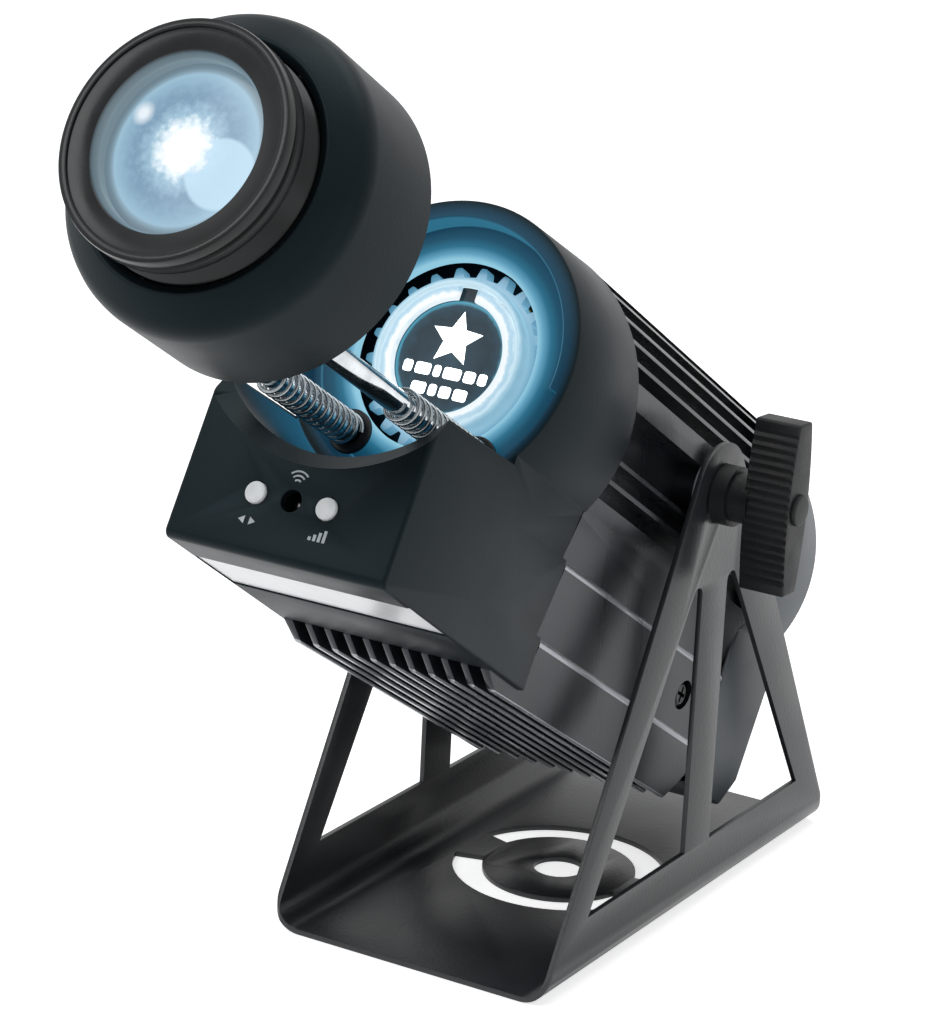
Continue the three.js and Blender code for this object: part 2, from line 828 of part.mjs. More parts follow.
function heatSink() {
  const { bodyInset, seamHalfWidth, rearSeam, pivotFace } = housing;
  const r = housing.seamRadius - bodyInset;
  const boardStep = Math.max(...sink.boardSteps);
  const front = housing.seamTop + overrun;
  const { bottomFinRoot, bottomFinTip, bottomFinFront } = sink;
  const core = prism(sinkSection(), rearSeam, front, fine).intersect(
    behindSeam(-2 * gap),
  );

  // Bottom fins run past the seam into the front cover, with slanted ends.
  const finSpan = (sink.bottomFins - 1) * sink.bottomFinPitch + sink.bottomFinThickness;
  const finBlock = sideways(
    [
      [sink.bottomFinRear - sink.bottomFinSlant, bottomFinRoot],
      [sink.bottomFinRear, bottomFinTip],
      [bottomFinFront - sink.bottomFinSlant, bottomFinTip],
      [bottomFinFront, sink.bottomFinCorner],
      [bottomFinFront, bottomFinRoot],
      [housing.seamLow - 2 * gap, bottomFinRoot],
      [housing.seamLow - 2 * gap, bottomFinRoot + overrun],
      [sink.wallBack, bottomFinRoot + overrun],
      [sink.wallBack, bottomFinRoot],
    ],
    -finSpan / 2,
    finSpan / 2,
  );
  const slits = [];
  const gapWidth = sink.bottomFinPitch - sink.bottomFinThickness;
  const first = (-(sink.bottomFins - 1) / 2) * sink.bottomFinPitch + sink.bottomFinPitch / 2;
  for (let i = 0; i < sink.bottomFins - 1; i++) {
    const x = first + i * sink.bottomFinPitch;
    slits.push(
      block(
        [x - gapWidth / 2, bottomFinTip - overrun, rearSeam - overrun],
        [x + gapWidth / 2, bottomFinRoot, bottomFinFront + overrun],
      ),
    );
  }

  // Side grooves: an upper row that leaves fins, one at the pivots, and two thin ones below.
  const grooves = [];
  const grooveAt = (low, high, depth) => {
    const nearest = Math.min(Math.abs(low), Math.abs(high));
    const inner = Math.sqrt(r * r - ((low + high) / 2) ** 2) - depth;
    const outer = Math.sqrt(r * r - nearest ** 2) + overrun;
    for (const side of [-1, 1])
      grooves.push(
        block(
          [side < 0 ? -outer : inner, low, rearSeam - overrun],
          [side < 0 ? -inner : outer, high, front + overrun],
        ),
      );
  };
  for (let i = 0; i < sink.sideGrooves; i++) {
    const low = sink.firstFin + sink.finThickness / 2 + i * sink.finPitch;
    grooveAt(low, low + sink.finPitch - sink.finThickness, sink.finDepth);
  }
  grooveAt(sink.pivotGrooveBottom, sink.pivotGrooveTop, sink.pivotGrooveDepth);
  for (const height of sink.lowGrooves)
    grooveAt(height - sink.lowGrooveHeight / 2, height + sink.lowGrooveHeight / 2, sink.lowGrooveDepth);

  // The room inside is open at the back; its front wall carries the lamp.
  const room = join(
    bar(sink.cavityRadius, rearSeam - overrun, sink.wallBack, { sides: middling }),
    block(
      [-sink.cavityHalfWidth, sink.cavityFloor, rearSeam - overrun],
      [sink.cavityHalfWidth, 0, sink.wallBack],
    ),
  );
  const face = bar(sink.faceRecessRadius, sink.wallFront, front + overrun, { sides: middling });
  const lowFace = block(
    [wallOffset(-1), sink.cavityFloor, sink.wallFront],
    [wallOffset(1), 0, front + overrun],
  );

  const posts = driver.postAlong.flatMap((z) =>
    [-1, 1].map((side) => {
      const post = new THREE.CylinderGeometry(
        driver.postRadius,
        driver.postRadius,
        driver.height - gap - sink.cavityFloor + gap,
        coarse,
      );
      const middle = (driver.height - gap + sink.cavityFloor - gap) / 2;
      return solid(post.translate(side * driver.postAcross, middle, z));
    }),
  );
  const pivots = crossBar(sink.bossRadius, sink.bossInner, pivotFace - gap, { sides: middling });
  const pivotsLeft = crossBar(sink.bossRadius, gap - pivotFace, -sink.bossInner, { sides: middling });

  const holes = [];
  for (const side of [-1, 1]) {
    const reach = r + overrun;
    const depth = pivotFace - sink.studHoleDepth;
    const hole = [side < 0 ? -reach : depth, side < 0 ? -depth : reach];
    const flat = [side < 0 ? -reach : pivotFace, side < 0 ? -pivotFace : reach];
    const edge = seamHalfWidth - bodyInset;
    const bore = [
      side < 0 ? -edge - overrun : edge - boardStep - sink.screwBoreDepth,
      side < 0 ? boardStep + sink.screwBoreDepth - edge : edge + overrun,
    ];
    const drill = bore.map((x) => x - side * (sink.screwBoreDepth + overrun));
    holes.push(
      crossBar(sink.studHoleRadius, ...hole, { sides: coarse }),
      crossBar(washer.radius + gap, ...flat, { sides: middling }),
      crossBar(sink.screwHoleRadius, ...drill, {
        y: sink.screwHeight,
        z: sink.screwAlong,
        sides: coarse,
      }),
      crossBar(sink.screwBoreRadius, ...bore, {
        y: sink.screwHeight,
        z: sink.screwAlong,
        sides: coarse,
      }),
      bar(guide.clipRadius + 2 * gap, sink.wallBack - overrun, sink.wallFront + overrun, {
        x: side * guide.across,
        y: guide.height,
        sides: coarse,
      }),
    );
  }
  holes.push(
    bar(sink.wireHoleRadius, sink.wallBack - overrun, sink.wallFront + overrun, {
      x: sink.wireHoleAcross,
      y: sink.wireHoleHeight,
      sides: coarse,
    }),
  );
  const body = cut(join(core, finBlock), ...slits, ...grooves, room, face, lowFace);
  return cut(join(body, ...posts, pivots, pivotsLeft), ...holes);

  function wallOffset(side) {
    return side * (seamHalfWidth - bodyInset - boardStep - sink.boardWall);
  }
}

function rearCoverSolid() {
  const { radius, seamRadius, bodyInset, rearSeam } = housing;
  const half = housing.seamHalfWidth - bodyInset;
  const { wall, bottom, topEdge, middleEdge, middleHeight, lowEdge, lowHeight, footEdge } = rearCover;
  const front = rearSeam - gap;
  const outline = (inset) => [
    [front + (inset ? overrun : 0), bottom + inset],
    [footEdge + inset, bottom + inset],
    [lowEdge + inset, lowHeight + inset / 2],
    [middleEdge + inset, middleHeight],
    [topEdge + inset, radius + overrun],
    [front + (inset ? overrun : 0), radius + overrun],
  ];
  const section = (inset) =>
    join(
      bar(rearCover.endRadius - inset, middleEdge - overrun, front + overrun, {
        sides: fine,
        end: seamRadius - inset,
      }),
      block([inset - half, bottom + inset, middleEdge - overrun], [half - inset, 0, front + overrun]),
    );
  const shell = section(0).intersect(sideways(outline(0), -seamRadius, seamRadius));
  const inside = section(wall).intersect(sideways(outline(wall), -seamRadius, seamRadius));
  const posts = screwPlaces().map(([x, y]) =>
    bar(rearCover.screwPostRadius, middleEdge, front, { x, y, sides: coarse }),
  );
  const solidPosts = join(...posts).intersect(sideways(outline(0), -seamRadius, seamRadius));
  const bores = screwPlaces().flatMap(([x, y]) => {
    const face = rearFaceAt(y);
    return [
      bar(rearCover.screwShankRadius + gap, face - overrun, front + overrun, { x, y, sides: coarse }),
      bar(rearCover.screwRadius + gap, middleEdge - 2 * overrun, face + rearCover.screwProud, {
        x,
        y,
        sides: coarse,
      }),
    ];
  });
  const glandHole = bar(gland.threadRadius + gap, middleEdge - 2 * overrun, front, {
    y: gland.height,
    sides: middling,
  });
  return cut(join(cut(shell, inside), solidPosts), ...bores, glandHole);
}

// Where the rear cover's sloping back lies at a height.
function rearFaceAt(y) {
  const { topEdge, middleEdge, middleHeight, lowEdge, lowHeight } = rearCover;
  const top = housing.radius + overrun;
  if (y > middleHeight)
    return middleEdge + ((topEdge - middleEdge) * (y - middleHeight)) / (top - middleHeight);
  return lowEdge + ((middleEdge - lowEdge) * (y - lowHeight)) / (middleHeight - lowHeight);
}

function screwPlaces() {
  return rearCover.screwHeights.flatMap((y, i) =>
    [-1, 1].map((side) => [side * rearCover.screwAcross[i], y]),
  );
}

// A screw along z with its head at the back.
function screwSolid(headRadius, headBack, headFront, shankRadius, shankEnd) {
  const slot = block(
    [-headRadius, -shankRadius / 3, headBack - overrun],
    [headRadius, shankRadius / 3, headBack + (headFront - headBack) / 2],
  );
  return cut(
    join(
      bar(headRadius, headBack, headFront, { sides: coarse }),
      bar(shankRadius, headFront - gap, shankEnd, { sides: coarse }),
    ),
    slot,
  );
}

function glandPieces() {
  const face = rearFaceAt(gland.height);
  const front = face + rearCover.wall;
  const seat = face - 2 * gap; // clear of the sloping back
  const hexBack = seat - gland.hexThickness;
  const body = join(
    bar(gland.hexRadius, hexBack, seat, { sides: 6 }),
    bar(gland.threadRadius, seat - gap, front + gland.threadLength, { sides: middling }),
    bar(gland.threadRadius, hexBack - gland.threadLength, hexBack + gap, { sides: middling }),
  );
  const bore = bar(gland.boreRadius, hexBack - 3 * gland.nutLength, front + 3 * gland.nutLength, {
    sides: coarse,
  });
  const nutFront = hexBack - gap;
  const nutBack = nutFront - gland.nutLength;
  const nut = turned(
    [
      [gland.threadRadius + gap, nutFront],
      [gland.nutRadius, nutFront],
      [gland.nutRadius, nutFront - gland.nutLength / 2],
      [gland.nutMouthRadius, nutBack],
      [gland.boreRadius, nutBack],
      [gland.boreRadius, hexBack - gland.threadLength - gap],
      [gland.threadRadius + gap, hexBack - gland.threadLength - gap],
    ],
    16,
  );
  return { body: cut(body, bore), nut };
}

function driverBoard() {
  const top = driver.height + driver.boardThickness;
  const corner = [driver.halfWidth, top, driver.front];
  const board = block([-driver.halfWidth, driver.height, driver.back], corner);
  const { transformerWidth, transformerLength, transformerHeight, transformerAlong } = driver;
  const transformer = block(
    [-transformerWidth / 2, top - gap, transformerAlong - transformerLength / 2],
    [transformerWidth / 2, top + transformerHeight, transformerAlong + transformerLength / 2],
  );
  const cans = [-1, 1].map((side) => {
    const height = driver.capacitorHeight + gap;
    const can = new THREE.CylinderGeometry(driver.capacitorRadius, driver.capacitorRadius, height, coarse);
    return solid(
      can.translate(side * driver.capacitorAcross, top - gap + height / 2, driver.capacitorAlong),
    );
  });
  return join(board, transformer, ...cans);
}

function condenserBarrel() {
  const back = sink.wallFront + lamp.boardThickness + 2 * gap;
  return turned(
    [
      [condenser.ledgeRadius, back],
      [condenser.flangeRadius, back],
      [condenser.flangeRadius, back + condenser.flangeThickness],
      [condenser.barrelRadius, back + condenser.flangeThickness],
      [condenser.barrelRadius, condenser.barrelFront],
      [condenser.boreRadius, condenser.barrelFront],
      [condenser.boreRadius, condenser.ledgeHeight],
      [condenser.ledgeRadius, condenser.ledgeHeight],
    ],
    middling,
  );
}

// A lens turned about z: a flat or domed side on each face of a round edge.
function lensSolid(radius, edgeBack, edgeFront, backCrown, frontCrown) {
  const back = domePoints(radius, edgeBack, backCrown).reverse();
  const front = domePoints(radius, edgeFront, frontCrown);
  return turned([...back, ...front], middling);
}

function ringSolid(innerRadius, outerRadius, back, front, sides = middling) {
  return turned(
    [
      [innerRadius, back],
      [outerRadius, back],
      [outerRadius, front],
      [innerRadius, front],
    ],
    sides,
  );
}

function carrierSolid() {
  const { back, plateThickness, plateRadius, hubRadius, hubFront, seatRadius } = carrier;
  const disc = bar(plateRadius, back, back + plateThickness, { sides: middling });
  const hub = bar(hubRadius, back, hubFront, { sides: middling });
  const posts = carrier.postAngles.map((angle) => {
    const turn = THREE.MathUtils.degToRad(angle);
    return bar(carrier.postRadius, sink.wallFront + gap, back + gap, {
      x: carrier.postCircle * Math.cos(turn),
      y: carrier.postCircle * Math.sin(turn),
      sides: coarse,
    });
  });
  const earHalf = motor.canRadius + gap;
  const ear = block(
    [-earHalf, -motor.centreDistance - motor.canRadius, back],
    [earHalf, 0, back + plateThickness],
  );
  const cuts = [
    bar(carrier.lipRadius, back - overrun, hubFront + overrun, { sides: middling }),
    bar(seatRadius, back + carrier.lipThickness, hubFront + overrun, { sides: middling }),
    bar(motor.bossRadius + gap, back - overrun, back + plateThickness + overrun, {
      y: -motor.centreDistance,
      sides: coarse,
    }),
    // Room for the pinion in front of the plate
    bar(motor.tipRadius + gap, back + plateThickness, hubFront + overrun, {
      y: -motor.centreDistance,
      sides: middling,
    }),
  ];
  for (const side of [-1, 1])
    cuts.push(
      bar(carrier.rodHoleRadius, back - overrun, hubFront + overrun, {
        x: side * guide.across,
        y: guide.height,
        sides: coarse,
      }),
    );
  return cut(join(disc, hub, ear, ...posts), ...cuts);
}

function rotorSolid() {
  const gearFront = rotor.gearBack + rotor.gearThickness;
  const gear = prism(toothedShape(rotor, -Math.PI / 2), rotor.gearBack, gearFront);
  const hub = bar(rotor.hubRadius, gearFront - gap, rotor.hubFront, { sides: fine });
  const journal = bar(rotor.journalRadius, rotor.journalBack, rotor.gearBack + gap, { sides: middling });
  const lipBack = rotor.gearBack + rotor.gearThickness / 2;
  return cut(
    join(gear, hub, journal),
    bar(rotor.journalBore, rotor.journalBack - overrun, lipBack, { sides: middling }),
    bar(rotor.apertureRadius, lipBack - overrun, rotor.seatHeight + overrun, { sides: middling }),
    bar(rotor.seatRadius, rotor.seatHeight, rotor.hubFront + overrun, { sides: middling }),
  );
}

function pinionSolid() {
  const back = rotor.gearBack;
  const front = rotor.gearBack + rotor.gearThickness;
  const pitch = (2 * Math.PI) / motor.teeth;
  // A tooth space faces the rotor's tooth.
  const wheel = prism(toothedShape(motor, Math.PI / 2 + pitch / 2), back, front);
  const shaft = bar(motor.shaftRadius, carrier.back - motor.shaftDepth, back + gap, { sides: coarse });
  return join(wheel, shaft);
}

function motorSolid() {
  const front = carrier.back - gap;
  const can = bar(motor.canRadius, front - motor.canLength, front, { sides: coarse });
  const boss = bar(motor.bossRadius, front - gap, front + gap + motor.bossLength, { sides: coarse });
  const bore = bar(motor.shaftRadius + gap, front - motor.shaftDepth - gap, front + 2 * overrun, {
    sides: coarse,
  });
  return cut(join(can, boss), bore);
}

function bushSolid() {
  const seat = cover.floorFront + gap;
  const front = seat + guide.bushFlange;
  return turned(
    [
      [guide.bushBore, front - guide.bushLength],
      [guide.bushRadius, front - guide.bushLength],
      [guide.bushRadius, seat],
      [guide.bushFlangeRadius, seat],
      [guide.bushFlangeRadius, front],
      [guide.bushBore, front],
    ],
    16,
  );
}

function rodSolid() {
  const { rodRadius, rodBack, rodEndChamfer, clipGroove, clipGrooveWidth, clipGrooveRadius } = guide;
  const front = nose.webFront;
  return turned(
    [
      [0, rodBack],
      [rodRadius - rodEndChamfer, rodBack],
      [rodRadius, rodBack + rodEndChamfer],
      [rodRadius, clipGroove - clipGrooveWidth / 2],
      [clipGrooveRadius, clipGroove - clipGrooveWidth / 2],
      [clipGrooveRadius, clipGroove + clipGrooveWidth / 2],
      [rodRadius, clipGroove + clipGrooveWidth / 2],
      [rodRadius, front],
      [0, front],
    ],
    16,
  );
}

// The open clip near a rod's back end, which stops against the bush when the nose is fully out.
function rodClip() {
  const { clipGroove, clipGrooveRadius, clipRadius, clipThickness, clipMouth } = guide;
  const back = clipGroove - clipThickness / 2;
  const front = back + clipThickness;
  const mouth = block(
    [-clipMouth / 2, -clipRadius - overrun, back - overrun],
    [clipMouth / 2, 0, front + overrun],
  );
  return ringSolid(clipGrooveRadius + gap, clipRadius, back, front, 16).subtract(mouth);
}

// A coil spring's centre line, climbing along z.
class Helix extends THREE.Curve {
  constructor(radius, start, length, turns) {
    super();
    Object.assign(this, { radius, start, length, turns });
  }
  getPoint(t, target = new THREE.Vector3()) {
    const angle = 2 * Math.PI * this.turns * t;
    const { radius, start, length } = this;
    return target.set(radius * Math.cos(angle), radius * Math.sin(angle), start + length * t);
  }
}

function springSolid() {
  const start = cover.floorFront + 2 * gap + guide.bushFlange + guide.springWire;
  const perTurn = 8;
  const coils = Math.max(1, Math.round(guide.springCoils));
  const helix = new Helix(guide.springRadius, start, guide.springLength, coils);
  const steps = perTurn * coils;
  const wire = new THREE.Shape();
  const sides = 5;
  for (let i = 0; i < sides; i++) {
    const angle = (2 * Math.PI * i) / sides;
    const at = [guide.springWire * Math.cos(angle), guide.springWire * Math.sin(angle)];
    if (i === 0) wire.moveTo(...at);
    else wire.lineTo(...at);
  }
  const points = helix.getSpacedPoints(steps);
  let least = Infinity;
  points.forEach((p, i) => {
    for (let k = i + perTurn / 2; k < points.length; k++) least = Math.min(least, p.distanceTo(points[k]));
  });
  console.log("least gap between spring turns", (least - 2 * guide.springWire).toFixed(2), "mm");
  return solid(new THREE.ExtrudeGeometry(wire, { steps, extrudePath: helix, bevelEnabled: false }));
}

function noseSolid() {
  const { radius } = housing;
  const { rim, rimWall, shoulder, shoulderRadius, shoulderEdge, face, faceRadius } = nose;
  const inner = radius - rimWall;
  const fall = radius - shoulderRadius;
  const shoulderArc = nose.shoulderArcShares.map((share) => {
    const angle = (share * Math.PI) / 2;
    return [
      shoulderRadius + fall * Math.cos(angle),
      shoulder + (shoulderEdge - shoulder) * Math.sin(angle),
    ];
  });
  const shell = turned([
    [inner, rim],
    [radius, rim],
    [radius, shoulder],
    ...shoulderArc,
    [shoulderRadius, shoulderEdge],
    [faceRadius, face],
    [nose.collarBore, face - nose.mouthDepth],
    [nose.collarBore, nose.webFront],
    [nose.webRadius, nose.webFront],
    [nose.webRadius, nose.webBack],
    [inner, nose.webBack],
  ]);
  const sockets = [-1, 1].map((side) =>
    bar(guide.rodRadius + gap, nose.webBack - overrun, nose.webFront + gap, {
      x: side * guide.across,
      y: guide.height,
      sides: coarse,
    }),
  );
  return cut(shell, ...sockets);
}

function tubeSolid() {
  const { radius, threadDepth, threadPitch, threads, back, front } = lensTube;
  const thread = [];
  for (let i = 0; i < threads; i++) {
    const z = front - (i + 0.5) * threadPitch;
    thread.push([radius - threadDepth, z], [radius, z - threadPitch / 2]);
  }
  return turned([
    [lensTube.boreRadius, back],
    [radius, back],
    ...thread.reverse(),
    [radius, front],
    [lensTube.boreRadius, front],
    [lensTube.boreRadius, lensTube.waistFront],
    [lensTube.waistRadius, lensTube.waistFront],
    [lensTube.waistRadius, lensTube.waistBack],
    [lensTube.boreRadius, lensTube.waistBack],
  ]);
}

function focusRingSolid() {
  const { radius, back, front, rimRadius, bezelRadius, bezelDepth } = focusRing;
  const { apertureRadius, apertureDepth, lipDepth, grooveDepth, grooveWidth } = focusRing;
  const side = [];
  for (const z of focusRing.grooves) {
    side.push(
      [radius, z - grooveWidth / 2],
      [radius - grooveDepth, z - grooveWidth / 2],
      [radius - grooveDepth, z + grooveWidth / 2],
      [radius, z + grooveWidth / 2],
    );
  }
  return turned([
    [apertureRadius, back],
    [radius, back],
    ...side,
    [radius, front - lipDepth],
    [radius - lipDepth, front],
    [rimRadius, front],
    [rimRadius, front - lipDepth],
    [bezelRadius, front - bezelDepth],
    [apertureRadius, front - apertureDepth],
  ]);
}

// One tilt-lock knob on the +X side, with its stud along x and its grip upright.
function knobSolid() {
  const outer = bracket.width / 2 + gap;
  const neckEnd = outer + knob.hubLength;
  const end = neckEnd + knob.barThickness;
  const hub = crossBar(knob.hubRadius, outer, outer + knob.hubLength / 2, { sides: 16 });
  const neck = crossBar(knob.neckRadius, outer, neckEnd + gap, { sides: 16 });
  const stud = crossBar(knob.studRadius, outer - knob.studLength, outer + gap, { sides: coarse });

  // The grip's outline, drawn as (Y, Z): a long oval with flat ends.
  const half = knob.barHeight / 2;
  const outline = (inset) => {
    const shape = new THREE.Shape();
    const side = knob.barWidth / 2 - inset;
    const tip = knob.barEndWidth / 2 - inset;
    shape.moveTo(-tip, inset - half);
    shape.lineTo(tip, inset - half);
    shape.bezierCurveTo(side, -half / 1.5, side, half / 1.5, tip, half - inset);
    shape.lineTo(-tip, half - inset);
    shape.bezierCurveTo(-side, half / 1.5, -side, -half / 1.5, -tip, inset - half);
    return shape;
  };
  const turn = new THREE.Matrix4().makeBasis(
    new THREE.Vector3(0, 1, 0),
    new THREE.Vector3(0, 0, 1),
    new THREE.Vector3(1, 0, 0),
  );
  const slab = (shape, left, right) => {
    const run = { depth: right - left, bevelEnabled: false, curveSegments: 6 };
    const geometry = new THREE.ExtrudeGeometry(shape, run);
    return solid(geometry.applyMatrix4(turn).translate(left, 0, 0));
  };
  // The long edges carry scallops, drawn as a zigzag.
  const edge = [];
  const pitch = (knob.barHeight - knob.barEndWidth) / knob.scallops;
  for (let i = 0; i <= 2 * knob.scallops; i++) {
    const z = ((i - knob.scallops) * pitch) / 2;
    edge.push([ovalHalfWidth(z) - (i % 2) * knob.scallopDepth, z]);
  }
  const tip = knob.barEndWidth / 2;
  const right = [[tip, -half], ...edge, [tip, half]];
  const left = right.map(([y, z]) => [-y, z]).reverse();
  const scalloped = new THREE.Shape([...right, ...left].map(([y, z]) => new THREE.Vector2(y, z)));
  const grip = join(
    slab(scalloped, neckEnd, end - knob.barEdge),
    slab(outline(knob.barEdge), end - knob.barEdge - gap, end),
    crossBar(knob.bumpRadius, end - gap, end + knob.bumpHeight, { sides: 12 }),
  );
  return join(grip, hub, neck, stud);

  // Half the grip's width at a height, from its bezier side.
  function ovalHalfWidth(z) {
    const tip = knob.barEndWidth / 2;
    const side = knob.barWidth / 2;
    const across = (2 * z) / knob.barHeight;
    const t = (across + 1) / 2;
    return tip * ((1 - t) ** 3 + t ** 3) + side * 3 * t * (1 - t);
  }
}

function controlBoard() {
  const { boardFront, boardThickness, boardHalfWidth, boardTop, boardBottom } = panel;
  const board = block(
    [-boardHalfWidth, boardBottom, boardFront - boardThickness],
    [boardHalfWidth, boardTop, boardFront],
  );
  const half = panel.switchSide / 2;
  const switches = [-1, 1].map((side) =>
    block(
      [side * panel.buttonSpacing - half, panel.itemHeight - half, boardFront - gap],
      [side * panel.buttonSpacing + half, panel.itemHeight + half, boardFront + panel.switchHeight],
    ),
  );
  return join(board, ...switches);
}

function receiverSolid() {
  const back = panel.boardFront + gap;
  const half = panel.receiverWidth / 2;
  const face = back + panel.receiverDepth;
  const box = block(
    [-half, panel.itemHeight - half, back],
    [half, panel.itemHeight + half, face],
  );
  const tip = face + panel.receiverDome;
  const dome = turned([[0, face - gap], ...domePoints(panel.receiverDome, face, tip, 4)], coarse);
  return join(box, dome.translate([0, panel.itemHeight, 0]));
}

function buttonSolid() {
  const inside = cover.panelFront - cover.wall;
  const switchTop = panel.boardFront + panel.switchHeight;
  const stem = switchTop + panel.buttonTravel + gap;
  return turned(
    [
      [0, stem],
      [panel.buttonStemRadius, stem],
      [panel.buttonStemRadius, inside - gap - panel.buttonFlange],
      [panel.buttonFlangeRadius, inside - gap - panel.buttonFlange],
      [panel.buttonFlangeRadius, inside - gap],
      [panel.buttonRadius, inside - gap],
      [panel.buttonRadius, cover.panelFront + panel.buttonProud / 2],
      [panel.buttonTopShare * panel.buttonRadius, cover.panelFront + panel.buttonProud],
      [0, cover.panelFront + panel.buttonProud],
    ],
    coarse,
  );
}

// The spring clip that holds the gobo: an open ring.
function goboClip(back) {
  const ring = ringSolid(gobo.clipInnerRadius, gobo.radius, back, back + gobo.clipThickness);
  const opening = block(
    [-gobo.clipOpening / 2, 0, back - overrun],
    [gobo.clipOpening / 2, gobo.radius + overrun, back + gobo.clipThickness + overrun],
  );
  return ring.subtract(opening);
}

const stand = new THREE.Group();
place(stand, "bracket", bracketSolid(), "blackSteel");

const head = new THREE.Group();
head.position.z = bracket.pivotHeight;
head.rotation.x = Math.PI / 2 - tiltAngle;
stand.add(head);

place(head, "heatsink_body", heatSink(), "darkAluminium");
place(head, "front_cover", frontCover(), "blackPlastic");
place(head, "rear_cover", rearCoverSolid(), "blackPlastic");
place(head, "driver_board", driverBoard(), "board");

screwPlaces().forEach(([x, y], i) => {
  const back = rearFaceAt(y) - gap;
  const headFront = rearFaceAt(y) + rearCover.screwProud - gap;
  const screw = screwSolid(
    rearCover.screwRadius,
    back,
    headFront,
    rearCover.screwShankRadius,
    headFront + rearCover.screwShank,
  );
  place(head, "rear_screw_" + (i + 1), screw, "springSteel").position.set(x, y, 0);
});

const { body: glandBody, nut: glandNut } = glandPieces();
place(head, "cable_gland_body", glandBody, "blackPlastic").position.y = gland.height;
place(head, "cable_gland_nut", glandNut, "blackPlastic").position.y = gland.height;

for (const [side, name] of [
  [-1, "left"],
  [1, "right"],
]) {
  const face = housing.seamHalfWidth - housing.bodyInset - Math.max(...sink.boardSteps);
  const seat = face - sink.screwBoreDepth;
  const screw = screwSolid(
    sink.screwBoreRadius - gap,
    -gap - sink.screwBoreDepth,
    -gap,
    rearCover.screwShankRadius,
    seat - sink.cavityHalfWidth,
  );
  const mesh = place(head, "side_screw_" + name, screw, "blackSteel");
  mesh.rotation.y = (-side * Math.PI) / 2;
  mesh.position.set(side * seat, sink.screwHeight, sink.screwAlong);
}

const half = lamp.boardSide / 2;
const boardBack = sink.wallFront + gap;
const boardFace = boardBack + lamp.boardThickness;
place(head, "led_board", block([-half, -half, boardBack], [half, half, boardFace]), "whiteBoard");
const emitterBack = boardFace + gap;
const emitter = bar(lamp.emitterRadius, emitterBack, emitterBack + lamp.emitterHeight);
place(head, "led_emitter", emitter, "emitter");

place(head, "condenser_barrel", condenserBarrel(), "darkAluminium");
const { lensRadius, lensEdge, lensDome } = condenser;
const firstBack = condenser.ledgeHeight + gap;
const firstEdge = firstBack + lensEdge;
const rearLens = lensSolid(lensRadius, firstBack, firstEdge, firstBack - weld, firstEdge + lensDome);
place(head, "condenser_lens_rear", rearLens, "glass");
const secondBack = condenser.frontLensBack;
const secondFront = secondBack + lensEdge;
const frontLens = lensSolid(lensRadius, secondBack, secondFront, secondBack - lensDome, secondFront + weld);
place(head, "condenser_lens_front", frontLens, "glass");
const rimClear = lensDome / 4;
const spacer = ringSolid(
  condenser.spacerRadius,
  lensRadius,
  firstEdge + rimClear,
  secondBack - rimClear,
);
place(head, "condenser_spacer", spacer, "darkAluminium");
const clipBack = secondFront + gap;
const condenserClip = ringSolid(
  condenser.clipRadius,
  lensRadius,
  clipBack,
  clipBack + condenser.clipThickness,
);
place(head, "condenser_clip", condenserClip, "blackSteel");

place(head, "gobo_carrier", carrierSolid(), "blackPlastic");
const bearingBack = carrier.back + carrier.lipThickness + gap;
const bearingFront = bearingBack + bearing.thickness;
const race = ringSolid(bearing.innerRadius, bearing.outerRadius, bearingBack, bearingFront);
place(head, "rotor_bearing", race, "brass");
place(head, "gobo_rotor", rotorSolid(), "paleNylon");
const discBack = rotor.seatHeight + gap;
const disc = bar(gobo.radius, discBack, discBack + gobo.thickness, { sides: middling });
place(head, "gobo_disc", disc, "artGlass");
place(head, "gobo_clip", goboClip(discBack + gobo.thickness + gap), "springSteel");
place(head, "gobo_motor", motorSolid(), "motorSteel").position.y = -motor.centreDistance;
place(head, "motor_pinion", pinionSolid(), "paleNylon").position.y = -motor.centreDistance;

for (const [side, name] of [
  [-1, "left"],
  [1, "right"],
]) {
  const pieces = [
    ["guide_bush_", bushSolid(), "brass"],
    ["buffer_spring_", springSolid(), "springSteel"],
    ["guide_rod_", rodSolid(), "chrome"],
    ["rod_clip_", rodClip(), "springSteel"],
  ];
  for (const [stem, body, look] of pieces)
    place(head, stem + name, body, look).position.set(side * guide.across, guide.height, 0);
  const button = place(head, "button_" + name, buttonSolid(), "whitePlastic");
  button.position.set(side * panel.buttonSpacing, panel.itemHeight, 0);

  const inner = housing.pivotFace + gap;
  const outer = inner + washer.thickness;
  const disk = crossBar(washer.radius, inner, outer, { sides: 20 }).subtract(
    crossBar(washer.boreRadius, inner - overrun, outer + overrun, { sides: coarse }),
  );
  const washerMesh = place(head, "friction_washer_" + name, disk, "paleNylon");
  if (side < 0) washerMesh.rotation.y = Math.PI;

  const knobMesh = place(stand, "tilt_knob_" + name, knobSolid(), "grip");
  knobMesh.position.z = bracket.pivotHeight;
  knobMesh.rotation.x = knob.restAngle;
  if (side < 0) knobMesh.rotation.set(-knob.restAngle, Math.PI, 0);
}

place(head, "control_board", controlBoard(), "board");
place(head, "ir_receiver", receiverSolid(), "smoked");

